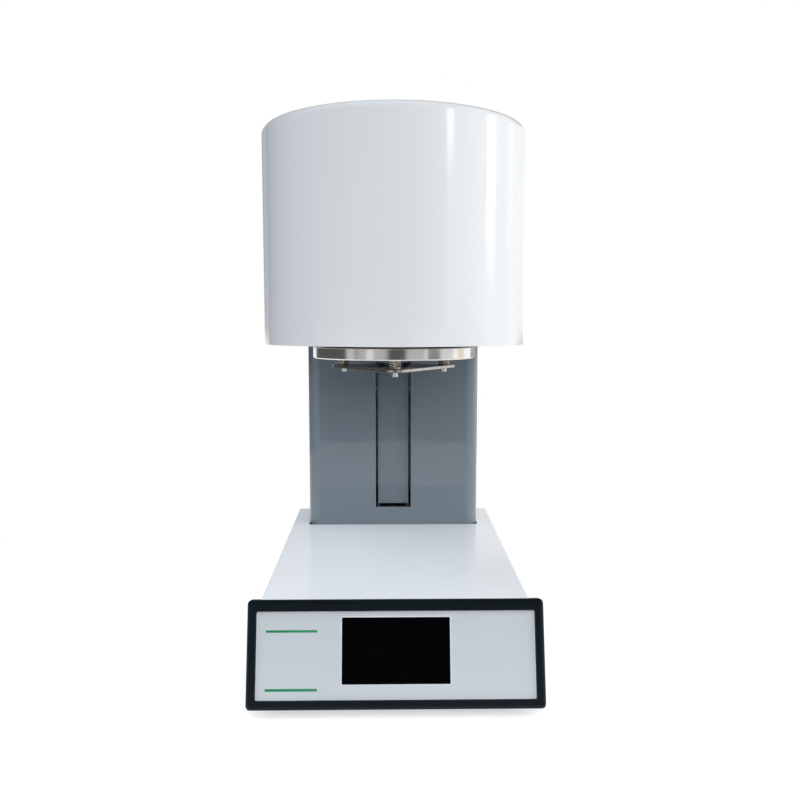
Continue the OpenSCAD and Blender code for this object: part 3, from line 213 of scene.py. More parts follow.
def paint(name, colour, roughness, coat, peel, edge_highlight=None, edge_r=0.0006):
    """Powder coat: orange peel, faint cloudiness, and a thin lighter line along edges that is a
    painted highlight.
    """
    s = Shader(name)
    cloud = s.noise(6, 3, 0.55)
    tone = s.mixed(s.spread(cloud, 0.3, 0.7, 0, 1), shade(colour, 0.985), shade(colour, 1.01))
    # Painted highlight: the edges are painted lighter, standing in for rounded edges that catch the
    # light.
    tone = s.mixed(s.edge(edge_r), tone, edge_highlight or shade(colour, 1.06))
    skin = s.noise(900, 2, 0.5)
    smooth = s.rounded(edge_r)
    s.set(Base_Color=tone, Coat_Weight=coat, Coat_Roughness=0.04, Coat_IOR=1.5,
          Roughness=s.spread(s.noise(40, 4, 0.6), 0.3, 0.7, roughness * 0.9, roughness * 1.1),
          Normal=s.bump(skin, peel, 0.12, smooth) if peel else smooth)


def metal(name, colour, roughness, grain, strength=0.5, stain=0.9):
    """Machined or brushed metal: grain is the stretch of its fine lines."""
    s = Shader(name)
    lines = s.noise(1.0, 4, 0.7, s.stretched(grain))
    cloud = s.noise(25, 4, 0.6)
    tone = s.mixed(s.spread(cloud, 0.35, 0.7, 0, 1), shade(colour, stain), colour)
    # Painted highlight: the edges are painted lighter.
    tone = s.mixed(s.edge(METAL_EDGE_R), tone, shade(colour, 1.2))
    s.set(Base_Color=tone, Metallic=1.0,
          Roughness=s.spread(lines, 0.3, 0.7, roughness * 0.75, roughness * 1.3),
          Normal=s.bump(lines, METAL_GRAIN, strength, s.rounded(METAL_EDGE_R)))


def turned(name, colour, roughness, axis, stain=0.9):
    """Lathe-turned metal: fine rings about a vertical axis."""
    s = Shader(name)
    moved = s.node("ShaderNodeMapping")
    moved.inputs["Location"].default_value = (-axis.x, -axis.y, 0)
    s.link(s.place, moved.inputs["Vector"])
    split = s.node("ShaderNodeSeparateXYZ")
    s.link(moved.outputs["Vector"], split.inputs["Vector"])
    flat = s.node("ShaderNodeCombineXYZ")
    s.link(split.outputs["X"], flat.inputs["X"])
    s.link(split.outputs["Y"], flat.inputs["Y"])
    rings = s.node("ShaderNodeCombineXYZ")
    s.link(s.length(flat.outputs["Vector"]), rings.inputs["X"])
    s.link(split.outputs["Z"], rings.inputs["Z"])
    lines = s.noise(2600, 3, 0.5, rings.outputs["Vector"])
    cloud = s.noise(18, 5, 0.6)
    tone = s.mixed(s.spread(cloud, 0.4, 0.75, 0, 1), colour, shade(colour, stain))
    s.set(Base_Color=tone, Metallic=1.0,
          Roughness=s.spread(lines, 0.3, 0.7, roughness * 0.8, roughness * 1.25),
          Normal=s.bump(lines, METAL_GRAIN, 0.4, s.rounded(0.0003)))


def plastic(name, colour, roughness, grain=1400, depth=0.00003, light=1.5, edge_r=0.0005,
            specular=0.5):
    """Moulded plastic: fine spark-eroded grain, and edges painted lighter by the factor light as a
    painted highlight.
    """
    s = Shader(name)
    skin = s.noise(grain, 2, 0.6)
    cloud = s.noise(12, 3, 0.5)
    tone = s.mixed(s.spread(cloud, 0.3, 0.7, 0, 1), shade(colour, 0.93), shade(colour, 1.05))
    # Painted highlight: the edges are painted lighter by the factor light.
    tone = s.mixed(s.edge(edge_r), tone, shade(colour, light))
    s.set(Base_Color=tone, Specular_IOR_Level=specular,
          Roughness=s.spread(skin, 0.3, 0.7, roughness * 0.9, roughness * 1.1),
          Normal=s.bump(skin, depth, 0.4, s.rounded(edge_r)))


def mineral(name, colour, dark, grain, depth, roughness=0.9):
    """Fired ceramic or ceramic fibre: specks, pores and faint heat marks."""
    s = Shader(name)
    speck = s.noise(grain, 6, 0.7)
    heat = s.noise(14, 3, 0.5)
    tone = s.mixed(s.spread(speck, 0.35, 0.65, 0, 1), dark, colour)
    tone = s.mixed(s.spread(heat, 0.5, 0.8, 0, 0.35), tone, dark)
    s.set(Base_Color=tone, Roughness=roughness, Normal=s.bump(speck, depth, 0.6, s.rounded(0.0006)))


def build_materials():
    paint("case_white", (0.735, 0.755, 0.775), 0.36, 0.9, 0.00001)
    paint("deck_white", (0.885, 0.91, 0.945), 0.36, 0.8, 0)
    # The column's pale edge colour is a painted highlight along its slot and corners.
    paint("column_grey", (0.150, 0.189, 0.225), 0.42, 0.80, 0.00002, (0.34, 0.39, 0.43), 0.0014)
    # The black frame's edges get a strong painted highlight through light=2.6.
    plastic("frame_black", (0.0035, 0.0075, 0.0105), 0.34, light=2.6, edge_r=0.0012, specular=0.2)
    fascia_film()
    glass_black()
    plastic("dark_plastic", (0.02, 0.02, 0.023), 0.45)
    plastic("rocker_red", (0.42, 0.018, 0.014), 0.22, 300, 0.00001, 1.3)
    board_green()
    plastic("rubber_black", (0.022, 0.022, 0.022), 0.75, 700, 0.00008, 1.6)
    plastic("silicone_grey", (0.055, 0.058, 0.062), 0.50, 500, 0.00003, 1.2)
    zinc_sheet()
    metal("aluminium", (0.74, 0.75, 0.77), 0.34, (30, 1800, 1800), 0.4)
    metal("cast_aluminium", (0.66, 0.67, 0.69), 0.45, (700, 700, 700), 0.5)
    metal("arm_steel", (0.17, 0.17, 0.18), 0.36, (60, 60, 1600), 0.4)
    spider_sheet()
    turned("platform_steel", (0.71, 0.70, 0.69), 0.15, HEAD_AXIS, 0.88)
    turned("flange_steel", (0.58, 0.57, 0.56), 0.25, HEAD_AXIS, 0.8)
    turned("shaft_steel", (0.70, 0.70, 0.71), 0.12, MECH_AXIS)
    turned("bell_steel", (0.60, 0.60, 0.61), 0.28, HEAD_AXIS, 0.8)
    metal("bright_steel", (0.74, 0.74, 0.75), 0.16, (400, 400, 400), 0.2)
    metal("spring_steel", (0.62, 0.56, 0.46), 0.20, (900, 900, 900), 0.3, stain=0.75)
    # Painted shade: the arm screws are made near black because they sit in shade under the
    # platform.
    metal("black_steel", (0.045, 0.045, 0.05), 0.30, (500, 500, 500), 0.3)
    metal("motor_black", (0.030, 0.030, 0.034), 0.45, (500, 500, 500), 0.4)
    metal("brass", (0.66, 0.50, 0.22), 0.26, (900, 900, 900), 0.3, stain=0.8)
    metal("copper", (0.70, 0.36, 0.22), 0.28, (300, 300, 300), 0.3, stain=0.7)
    metal("coil_wire", (0.22, 0.16, 0.13), 0.55, (900, 900, 900), 0.5, stain=0.6)
    mineral("fibre_white", (0.80, 0.78, 0.73), (0.66, 0.62, 0.55), 260, 0.0006)
    mineral("ceramic", (0.74, 0.69, 0.60), (0.58, 0.52, 0.43), 900, 0.00015, 0.75)
    plastic("stripe_green", (0.010, 0.245, 0.095), 0.35, 900, 0.00001, 1.1)
    plastic("line_light", (0.80, 0.84, 0.88), 0.30, 900, 0.00001, 1.05)
    plastic("mark_white", (0.82, 0.82, 0.82), 0.40, 900, 0.00001, 1.05)


def spider_sheet():
    """Laser-cut steel sheet whose upper face, in the shade right under the hot platform, is painted
    near black as painted shade.
    """
    s = Shader("spider_steel")
    lines = s.noise(1.0, 4, 0.7, s.stretched((1800, 60, 1800)))
    cloud = s.noise(60, 4, 0.6)
    tone = s.mixed(s.spread(cloud, 0.35, 0.7, 0, 1), (0.34, 0.31, 0.29), (0.44, 0.41, 0.39))
    split = s.node("ShaderNodeSeparateXYZ")
    s.link(s.node("ShaderNodeNewGeometry").outputs["Normal"], split.inputs["Vector"])
    # Painted shade: the faces that point up are painted near black, where the platform above shades
    # them.
    painted_shade_top = s.mixed(s.spread(cloud, 0.3, 0.7, 0, 1), (0.010, 0.010, 0.012), (0.022, 0.021, 0.023))
    tone = s.mixed(s.spread(split.outputs["Z"], 0.5, 0.9, 0.0, 1.0), tone, painted_shade_top)
    s.set(Base_Color=tone, Metallic=1.0, Roughness=s.spread(lines, 0.3, 0.7, 0.17, 0.26),
          Normal=s.bump(lines, METAL_GRAIN, 0.3, s.rounded(METAL_EDGE_R)))


def fascia_film():
    """Satin overlay film: fine speckle of a metallic print and a slow gradient."""
    s = Shader("fascia_silver")
    speck = s.noise(2600, 2, 0.6)
    wide = s.noise(5, 2, 0.5)
    tone = s.mixed(s.spread(speck, 0.35, 0.65, 0, 1), (0.730, 0.790, 0.845), (0.785, 0.845, 0.900))
    tone = s.mixed(s.spread(wide, 0.35, 0.65, 0, 0.5), tone, (0.80, 0.85, 0.90))
    s.set(Base_Color=tone, Metallic=0.42, Coat_Weight=0.5, Coat_Roughness=0.10,
          Roughness=s.spread(speck, 0.3, 0.7, 0.30, 0.38),
          Normal=s.bump(speck, 0.00001, 0.3, s.rounded(METAL_EDGE_R)))


def glass_black():
    """Touch glass with the dark panel printed behind it, and faint finger smears."""
    s = Shader("screen_glass")
    smear = s.noise(30, 5, 0.65, s.stretched((1, 1, 2)))
    panel, greasy = (0.0008, 0.0009, 0.0014), (0.0016, 0.0017, 0.0024)
    tone = s.mixed(s.spread(smear, 0.4, 0.7, 0, 1), panel, greasy)
    s.set(Base_Color=tone, Roughness=s.spread(smear, 0.35, 0.75, 0.04, 0.10),
          Specular_IOR_Level=0.10, Normal=s.rounded(0.0003))


def board_green():
    """Solder mask with copper tracks under it."""
    s = Shader("board_green")
    tracks = s.node("ShaderNodeTexBrick", offset=0.35)
    tracks.inputs["Scale"].default_value = 260
    tracks.inputs["Mortar Size"].default_value = 0.18
    s.link(s.place, tracks.inputs["Vector"])
    tone = s.mixed(tracks.outputs["Fac"], (0.012, 0.13, 0.045), (0.020, 0.19, 0.075))
    s.set(Base_Color=tone, Roughness=s.spread(s.noise(60), 0.3, 0.7, 0.28, 0.42),
          Normal=s.bump(tracks.outputs["Fac"], 0.00003, 0.5, s.rounded(0.0003)))


def zinc_sheet():
    """Galvanised sheet: large soft spangles with slightly different shine."""
    s = Shader("zinc_sheet")
    cells = s.node("ShaderNodeTexVoronoi")
    cells.inputs["Scale"].default_value = 160
    s.link(s.place, cells.inputs["Vector"])
    grey = s.node("ShaderNodeRGBToBW")
    s.link(cells.outputs["Color"], grey.inputs["Color"])
    tone = s.mixed(grey.outputs["Val"], (0.50, 0.52, 0.54), (0.66, 0.68, 0.70))
    s.set(Base_Color=tone, Metallic=1.0, Roughness=s.spread(grey.outputs["Val"], 0, 1, 0.30, 0.50),
          Normal=s.bump(grey.outputs["Val"], 0.00003, 0.3, s.rounded(METAL_EDGE_R)))


# CAD nodes and the finish that each one gets
FINISH = {
    "case_white": "head_housing",
    "deck_white": "deck_cover rear_panel head_rear_cover",
    "column_grey": "column_shell column_rear_cover slot_strip",
    "frame_black": "front_frame",
    "fascia_silver": "fascia",
    "screen_glass": "touch_glass",
    "dark_plastic": "display_module power_inlet switch_body fan_frame fan_rotor heater_relay",
    "rocker_red": "power_rocker",
    "board_green": "control_board",
    "rubber_black": "rubber_feet",
    "silicone_grey": "platform_seal",
    "zinc_sheet": "chassis front_plate power_supply mast head_floor",
    "aluminium": "upper_plate lower_plate motor_plate shaft_coupling",
    "cast_aluminium": "carriage_block",
    "arm_steel": "lift_arm",
    "spider_steel": "spider_plate",
    "platform_steel": "platform",
    "flange_steel": "muffle_flange",
    "bell_steel": "vacuum_bell",
    "shaft_steel": "guide_shafts motor_shaft lead_screw",
    "black_steel": "arm_screws",
    "bright_steel": "cover_screws rear_screws flange_screws platform_bolts fan_guard "
                    "screw_bearings thermocouple",
    "spring_steel": "platform_springs",
    "motor_black": "lift_motor",
    "brass": "hose_spigot vacuum_valve guide_bushes lead_nut",
    "copper": "vacuum_pipe",
    "coil_wire": "heating_coil coil_leads",
    "fibre_white": "muffle_lining lining_cap",
    "ceramic": "pedestal firing_tray heating_muffle",
}


def finish_nodes():
    """Each CAD node gets its finish."""
    for name, nodes in FINISH.items():
        for n in nodes.split():
            mesh = NODES[n].data
            mesh.materials.clear()
            mesh.materials.append(MAT[name])


# Pieces

def slope(x, v, n):
    """A point of the tilted frame: x across, v up the slope, n behind the face."""
    return Vector((x, FRONT_Y - SLOPE_BACK + v * math.sin(TILT) + n * math.cos(TILT),
                   SLOPE_FOOT_Z + v * math.cos(TILT) - n * math.sin(TILT)))


def add_piece(name, verts, faces, material, body, smooth=None):
    """A mesh that rides on a body. Its faces are smooth up to an angle in degrees, or flat."""
    mesh = bpy.data.meshes.new(name)
    mesh.from_pydata([tuple(v) for v in verts], [], faces)
    mesh.validate()
    mesh.update()
    bm = bmesh.new()
    bm.from_mesh(mesh)
    bmesh.ops.recalc_face_normals(bm, faces=bm.faces)
    bm.to_mesh(mesh)
    bm.free()
    mesh.materials.append(MAT[material])
    piece = bpy.data.objects.new(name, mesh)
    bpy.context.scene.collection.objects.link(piece)
    if smooth is not None:
        mesh.polygons.foreach_set("use_smooth", [True] * len(mesh.polygons))
        mesh.set_sharp_from_angle(angle=math.radians(smooth))
    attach(piece, body)
    return piece


def tube(points, radius, sides, closed=False):
    """Vertices and faces of a round wire along points: a ring, or with flat ends."""
    n = len(points)
    verts, faces = [], []
    up = Vector((0, 0, 1))
    for i, p in enumerate(points):
        a, b = (points[(i - 1) % n], points[(i + 1) % n]) if closed else (
            points[max(i - 1, 0)], points[min(i + 1, n - 1)])
        t = (b - a).normalized()
        ref = up if abs(t.dot(up)) < 0.9 else Vector((0, 1, 0))
        s = t.cross(ref).normalized()
        u = s.cross(t)
        for k in range(sides):
            a = TAU * k / sides
            verts.append(p + radius * (math.cos(a) * s + math.sin(a) * u))
    last = n if closed else n - 1
    for i in range(last):
        for k in range(sides):
            a, b = i * sides, ((i + 1) % n) * sides
            c = (k + 1) % sides
            faces.append((a + k, a + c, b + c, b + k))
    if not closed:
        faces.append(tuple(range(sides - 1, -1, -1)))
        faces.append(tuple((n - 1) * sides + k for k in range(sides)))
    return verts, faces


def joined(parts):
    """Pairs of vertices and faces, as one pair."""
    verts, faces = [], []
    for v, f in parts:
        k = len(verts)
        verts += v
        faces += [tuple(i + k for i in face) for face in f]
    return verts, faces


def polar(centre, r, degrees, z):
    """A point round a vertical axis."""
    a = math.radians(degrees)
    return Vector((centre.x + r * math.cos(a), centre.y + r * math.sin(a), z))


def springs():
    """Compression springs with closed, ground ends."""
    wire = SPRING_WIRE_R
    steps, closed_turn = 40, 0.75
    total = SPRING_TURNS + 2 * closed_turn
    low, high = SPIDER_TOP_Z + wire * 0.9, SPIDER_TOP_Z + SPRING_H - wire * 0.9
    end_rise = wire * 0.8
    free_low, free_high = low + end_rise, high - end_rise
    parts = []
    for a in BOLT_ANGLES:
        at = polar(HEAD_AXIS, BOLT_CIRCLE_R, a, 0)
        points = []
        for i in range(int(total * steps) + 1):
            turn = i / steps
            if turn < closed_turn:
                z = low + end_rise * turn / closed_turn
            elif turn > total - closed_turn:
                z = high - end_rise * (total - turn) / closed_turn
            else:
                z = free_low + (free_high - free_low) * (turn - closed_turn) / SPRING_TURNS
            points.append(polar(at, SPRING_R, a + 360 * turn, z))
        parts.append(tube(points, wire, 14))
    v, f = joined(parts)
    piece = add_piece("spring_coils", v, f, "spring_steel", "carriage", 50)
    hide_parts("platform_springs")
    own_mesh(piece)


PRINT_N = FASCIA_N - 0.00006      # the face of a print, just before the film
PRINT_SUNK_N = FASCIA_N + 0.0001  # its back, sunk into the film
PRINT_BEVEL = 0.00002


def bar_on_slope(name, x0, x1, v0, v1):
    """Plain printed bar with round corners, on the film of the tilted frame."""
    r, arc_steps = 0.0002, 4
    corners = []
    for cx, cv, start in ((x1 - r, v1 - r, 0), (x0 + r, v1 - r, 90),
                          (x0 + r, v0 + r, 180), (x1 - r, v0 + r, 270)):
        for k in range(arc_steps + 1):
            a = math.radians(start + 90 * k / arc_steps)
            corners.append((cx + r * math.cos(a), cv + r * math.sin(a)))
    m = len(corners)
    cx, cv = (x0 + x1) / 2, (v0 + v1) / 2
    rings = ((0, PRINT_SUNK_N), (0, PRINT_N + PRINT_BEVEL), (-PRINT_BEVEL, PRINT_N))
    verts, faces = [], []
    for grow, n in rings:
        kx, kv = 1 + 2 * grow / (x1 - x0), 1 + 2 * grow / (v1 - v0)
        verts += [slope(cx + (x - cx) * kx, cv + (v - cv) * kv, n) for x, v in corners]
    for i in range(len(rings) - 1):
        for k in range(m):
            j = (k + 1) % m
            faces.append((i * m + k, i * m + j, (i + 1) * m + j, (i + 1) * m + k))
    faces.append(tuple(range(m)))
    faces.append(tuple(2 * m + k for k in reversed(range(m))))
    add_piece(name, verts, faces, "stripe_green", "base", 40)


def line_on_slope(name, x0, x1, v0, v1, width):
    """Thin printed line along a rectangle, on the film of the tilted frame."""
    verts, faces = [], []
    for n in (PRINT_SUNK_N, PRINT_N):
        for out in (0, width):
            verts += [slope(x, v, n) for x, v in ((x0 + out, v0 + out), (x1 - out, v0 + out),
                                                  (x1 - out, v1 - out), (x0 + out, v1 - out))]
    for k in range(4):
        j = (k + 1) % 4
        faces += [(k, j, 4 + j, 4 + k), (8 + k, 12 + k, 12 + j, 8 + j),
                  (k, 8 + k, 8 + j, j), (4 + k, 4 + j, 12 + j, 12 + k)]
    add_piece(name, verts, faces, "line_light", "base")


def fascia_print():
    """The two plain green bars and the light lines round the film and the screen."""
    bar_on_slope("bar_upper", -0.1297, -0.0785, 0.0747, 0.0771)
    bar_on_slope("bar_lower", -0.1297, -0.0783, 0.0181, 0.0207)
    line_on_slope("film_edge_line", -0.1390, 0.1390, 0.0097, 0.0953, 0.0009)
    line_on_slope("screen_edge_line", -0.0551, 0.0551, 0.0232, 0.0902, 0.0008)


def lead_screw():
    """Trapezoidal right-hand thread, lead 10 mm, with turned journals at the bearings."""
    lo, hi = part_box("lead_screw")
    major_r, minor_r, starts, lead = 0.006, 0.0048, 4, 0.010
    crest, flank = 0.3, 0.3     # shares of half a pitch
    low_journal, top_journal, runout = 0.1195, hi.z - 0.009, 0.0008
    sides, rows = 48, int((hi.z - lo.z) / 0.0005)

    def clamped(value):
        return min(1, max(0, value))

    verts, faces = [], []
    for i in range(rows + 1):
        z = lo.z + (hi.z - lo.z) * i / rows
        cut = clamped((top_journal - z) / runout) * clamped((z - low_journal) / runout)
        for k in range(sides):
            a = TAU * k / sides
            phase = (z - lead * a / TAU) / (lead / starts) % 1.0
            depth = clamped((abs(phase - 0.5) * 2 - crest) / flank) * cut
            r = major_r - (major_r - minor_r) * depth
            verts.append(Vector((MECH_AXIS.x + r * math.cos(a), MECH_AXIS.y + r * math.sin(a), z)))
    for i in range(rows):
        for k in range(sides):
            a, b, j = i * sides, (i + 1) * sides, (k + 1) % sides
            faces.append((a + k, a + j, b + j, b + k))
    faces.append(tuple(range(sides - 1, -1, -1)))
    faces.append(tuple(rows * sides + k for k in range(sides)))
    piece = add_piece("screw_thread", verts, faces, "shaft_steel", "screw", 40)
    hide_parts("lead_screw")


def heating_coil():
    """Smooth wound heating wire whose ends turn in to the leads."""
    lo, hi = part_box("heating_coil")
    wire_r, coil_r, lead_ring_r = 0.0009, 0.0446, 0.0409
    turns, steps = 8.5, 72
    low, high = lo.z + wire_r, hi.z - wire_r
    last, quarter = int(turns * steps), steps / 4
    points = []
    for i in range(last + 1):
        turn_in = max(0, 1 - i / quarter, 1 - (last - i) / quarter)
        r = coil_r - (coil_r - lead_ring_r) * turn_in * turn_in * (3 - 2 * turn_in)
        points.append(polar(HEAD_AXIS, r, 180 + 360 * i / steps, low + (high - low) * i / last))
    v, f = tube(points, wire_r, 10)
    piece = add_piece("coil_winding", v, f, "coil_wire", "base", 50)
    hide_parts("heating_coil")


def on_panel(x, y, z, r, a):
    """A point round an axis that runs to the rear at x and z, a in radians."""
    return Vector((x + r * math.cos(a), y, z + r * math.sin(a)))


def upright_ring(x, y, z, r, count):
    """Points all round such an axis."""
    return [on_panel(x, y, z, r, TAU * k / count) for k in range(count)]


def fan_guard():
    """Finger guard of welded round wire with four eyes."""
    wire, sides, bore_r, eye_at, eye_r = 0.0007, 10, 0.0282, 0.025, 0.0028
    inner_ring_r = bore_r * 0.42
    y = REAR_Y + wire
    parts = []
    for r in (bore_r + 0.0005, bore_r * 0.72, inner_ring_r):
        parts.append(tube(upright_ring(-PANEL_X, y, FAN_Z, r, 72), wire, sides, closed=True))
    for sx in (-1, 1):
        for sz in (-1, 1):
            eye = Vector((-PANEL_X + sx * eye_at, y, FAN_Z + sz * eye_at))
            parts.append(tube(upright_ring(*eye, eye_r, 32), wire, sides, closed=True))
            out = Vector((sx, 0, sz)).normalized()
            start, end = Vector((-PANEL_X, y, FAN_Z)) + out * inner_ring_r, eye - out * eye_r
            parts.append(tube([start + (end - start) * k / 6 for k in range(7)], wire, sides))
    v, f = joined(parts)
    piece = add_piece("guard_wires", v, f, "bright_steel", "base", 50)
    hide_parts("fan_guard")


FAN_HUB_R = 0.011
FAN_BLADES = 7


def fan_hub(front, rear):
    """Cap with rounded edges, open to the rear for the pin that it turns on."""
    pin_r, sides = 0.0021, 64
    profile = ((pin_r, rear), (FAN_HUB_R - 0.001, rear), (FAN_HUB_R, rear - 0.001),
               (FAN_HUB_R, front + 0.0015), (FAN_HUB_R - 0.0015, front), (pin_r, front + 0.0017))
    verts, faces = [], []
    for r, y in profile:
        verts += upright_ring(-PANEL_X, y, FAN_Z, r, sides)
    floor_of_bore = 5 * sides
    for k in range(sides):
        j = (k + 1) % sides
        for i in range(4):
            faces.append((i * sides + k, i * sides + j, (i + 1) * sides + j, (i + 1) * sides + k))
        faces.append((k, floor_of_bore + k, floor_of_bore + j, j))
    for i in (4, 5):
        faces.append(tuple(i * sides + k for k in range(sides)))
    return verts, faces


def fan_blade(number, front, rear, tip_r):
    """One blade: a closed, cambered sheet that is steeper at its root."""
    rows, cols, half_t = 8, 8, 0.0006
    root_r = FAN_HUB_R - 0.0006
    verts, faces = [], []
    for side in (1, -1):
        for i in range(rows + 1):
            u = i / rows
            r = root_r + (tip_r - root_r) * u
            chord, pitch = 0.0125 + 0.0035 * u, math.radians(38 - 8 * u)
            for j in range(cols + 1):
                w = 2 * j / cols - 1
                across = chord * w / 2
                off = 0.0016 * (1 - w ** 2) + side * half_t * (1 - 0.6 * abs(w))
                tangent = across * math.cos(pitch) + off * math.sin(pitch)
                axial = across * math.sin(pitch) - off * math.cos(pitch)
                y = min(max((front + rear) / 2 + axial * 0.95, front), rear)
                a = TAU * number / FAN_BLADES + tangent / r + 0.22 * u
                verts.append(on_panel(-PANEL_X, y, FAN_Z, r, a))
    row = cols + 1
    back = (rows + 1) * row
    for i in range(rows):
        for j in range(cols):
            a = i * row + j
            b = a + row
            faces += [(a, b, b + 1, a + 1), (back + a, back + a + 1, back + b + 1, back + b)]
    for i in range(rows):
        a, b = i * row, (i + 1) * row
        faces += [(a, back + a, back + b, b),
                  (a + cols, b + cols, back + b + cols, back + a + cols)]
    for j in range(cols):
        a = rows * row + j
        faces += [(j, j + 1, back + j + 1, back + j), (a, back + a, back + a + 1, a + 1)]
    return verts, faces


def fan_rotor():
    """Hub with seven curved blades."""
    lo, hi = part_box("fan_rotor")
    tip_r = min(hi.x - lo.x, hi.z - lo.z) / 2
    blades = [fan_blade(k, lo.y, hi.y, tip_r) for k in range(FAN_BLADES)]
    v, f = joined([fan_hub(lo.y, hi.y)] + blades)
    piece = add_piece("fan_blades", v, f, "dark_plastic", "fan", 35)
    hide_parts("fan_rotor")


def rocker_marks():
    """Generic I and O printed on the rocker's key."""
    swing = math.radians(10)
    key_top, proud, sunk = 0.005, 0.00005, 0.0002
    centre_off, bar_half_w, bar_half_h = 0.0042, 0.0005, 0.0022
    ring_out_r, ring_in_r, sides = 0.0022, 0.0015, 40

    def on_key(x, along, out):
        return Vector((PANEL_X + x, REAR_Y + along * math.sin(swing) + out * math.cos(swing),
                       SWITCH_Z - along * math.cos(swing) + out * math.sin(swing)))

    def raised(loops):
        """Raised field between two closed loops, or inside one."""
        verts, faces = [], []
        m = len(loops[0])
        for out in (key_top + proud, key_top - sunk):
            for loop in loops:
                verts += [on_key(x, along, out) for x, along in loop]
        for k in range(m):
            j = (k + 1) % m
            if len(loops) == 2:
                faces += [(k, j, m + j, m + k), (k, 2 * m + k, 2 * m + j, j),
                          (m + k, m + j, 3 * m + j, 3 * m + k),
                          (2 * m + k, 3 * m + k, 3 * m + j, 2 * m + j)]
            else:
                faces.append((k, m + k, m + j, j))
        if len(loops) == 1:
            faces += [tuple(range(m)), tuple(m + k for k in reversed(range(m)))]
        return verts, faces

    foot, head = -centre_off - bar_half_h, -centre_off + bar_half_h
    bar = [(bar_half_w, foot), (bar_half_w, head), (-bar_half_w, head), (-bar_half_w, foot)]
    rings = [[(r * math.cos(TAU * k / sides), centre_off + r * math.sin(TAU * k / sides))
              for k in range(sides)] for r in (ring_out_r, ring_in_r)]
    v, f = joined([raised([bar]), raised(rings)])
    add_piece("key_marks", v, f, "mark_white", "rocker")


# Widths of the small bevels on the hard edges of the shown solids
SMALL_BEVELS = {"front_frame": 0.0003, "deck_cover": 0.0003, "column_shell": 0.0003,
                "slot_strip": 0.0002, "head_housing": 0.0003, "fascia": 0.0002}


def smooth_cad():
    """Rounds the hard sheet-metal and machined edges of the shown solids a little."""
    for n, width in SMALL_BEVELS.items():
        o = NODES[n]
        weld = o.modifiers.new("weld", "WELD")
        weld.merge_threshold = 0.00001
        flat = o.modifiers.new("flat", "DECIMATE")
        flat.decimate_type = "DISSOLVE"
        flat.angle_limit = math.radians(0.3)
        bevel = o.modifiers.new("bevel", "BEVEL")
        bevel.width = width
        bevel.segments = 2
        bevel.limit_method = "ANGLE"
        bevel.angle_limit = math.radians(40)
        even = o.modifiers.new("even", "WEIGHTED_NORMAL")
        even.weight = 100
        even.keep_sharp = True


# Studio

WHITE = (1.0, 1.0, 1.0)


def white_for_camera(material, colour, lift, near, far):
    """Diffuse floor that camera, mirror and glass rays see raised to white. Its shadow stays
    near the object: it fades between the distances near and far."""
    material.use_nodes = True
    s = NodeTree(material.node_tree)
    s.tree.nodes.clear()
    path = s.node("ShaderNodeLightPath").outputs
    direct = s.math("MAXIMUM", path["Is Camera Ray"], path["Is Glossy Ray"])
    seen = s.math("MAXIMUM", direct, path["Is Transmission Ray"])
    glow = s.add("ShaderNodeEmission", WHITE, s.math("MULTIPLY", seen, lift))
    lifted = s.add("ShaderNodeAddShader", s.add("ShaderNodeBsdfDiffuse", colour), glow)
    away = s.length(s.node("ShaderNodeNewGeometry").outputs["Position"])
    fade = s.math("MULTIPLY", s.ease(away, near, far, 0.0, 1.0), seen)
    surface = s.add("ShaderNodeMixShader", fade, lifted, s.add("ShaderNodeEmission", WHITE))
    s.link(surface, s.node("ShaderNodeOutputMaterial").inputs["Surface"])


def floor():
    """Round white floor, staged so that it isn't part of the object."""
    radius, sides = 1.5, 48
    mesh = bpy.data.meshes.new("floor")
    rim = [(radius * math.cos(TAU * k / sides), radius * math.sin(TAU * k / sides), 0)
           for k in range(sides)]
    mesh.from_pydata(rim, [], [tuple(range(sides))])
    plane = bpy.data.objects.new("floor", mesh)
    bpy.context.scene.collection.objects.link(plane)
    material = bpy.data.materials.new("floor_white")
    white_for_camera(material, (0.70, 0.70, 0.70), lift=0.45, near=0.45, far=0.85)
    mesh.materials.append(material)


def softbox(name, place, target, width, height, power, colour=(1, 1, 1)):
    """Area lamp that lights the object softly. Mirrors see the studio of the world instead."""
    light = bpy.data.lights.new(name, "AREA")
    light.shape = "RECTANGLE"
    light.size, light.size_y = width, height
    light.energy = power
    light.color = colour
    lamp = bpy.data.objects.new(name, light)
    lamp.location = place
    lamp.rotation_euler = (Vector(target) - Vector(place)).to_track_quat("-Z", "Y").to_euler()
    lamp.visible_glossy = False
    bpy.context.scene.collection.objects.link(lamp)


def around(degrees, distance, z):
    """A place round the head's axis: 0 is in front, 90 is to the right."""
    a = math.radians(degrees)
    return (distance * math.sin(a), HEAD_AXIS.y - distance * math.cos(a), z)


def lights():
    """Two lamps on the right, one in front and a cool one on the left."""
    softbox("key_right", around(88, 1.9, 0.75), (0, HEAD_AXIS.y, 0.38), 1.3, 1.5, 9.3)
    softbox("quarter_right", around(62, 2.0, 1.15), (0, 0, 0.2), 1.2, 1.0, 8.6)
    softbox("front_mid", around(4, 2.3, 1.35), (0, 0, 0.2), 1.4, 1.4, 18.8)
    softbox("side_left", around(-85, 1.2, 1.7), (0, 0.03, 0.15), 1.2, 1.0, 8.4, (0.865, 0.942, 1.0))


# Panels, cloths and gaps round the studio, which only mirrors see. Azimuths in degrees, 0 behind
# the camera and 90 to the right: where one begins and ends, its brightness and how golden it is
STUDIO = ((-180, -144, 1.20, 0), (-142, -71, 0.13, 0), (-69, -57, 0.85, 0), (-56, -54, 0.35, 0),
          (-53, -40, 0.70, 0), (-38.5, -30, 1.25, 0), (-28.5, -12, 0.74, 0), (-7, 14, 0.14, 0),
          (17.5, 42, 0.78, 0), (43, 45, 1.30, 0), (47, 64.5, 0.17, 0), (67.5, 89, 0.85, 0),
          (90, 98, 1.35, 0), (102.5, 112.5, 1.05, 1), (114, 135, 1.35, 0), (137, 180, 0.45, 0))
STUDIO_TOP = 1.35

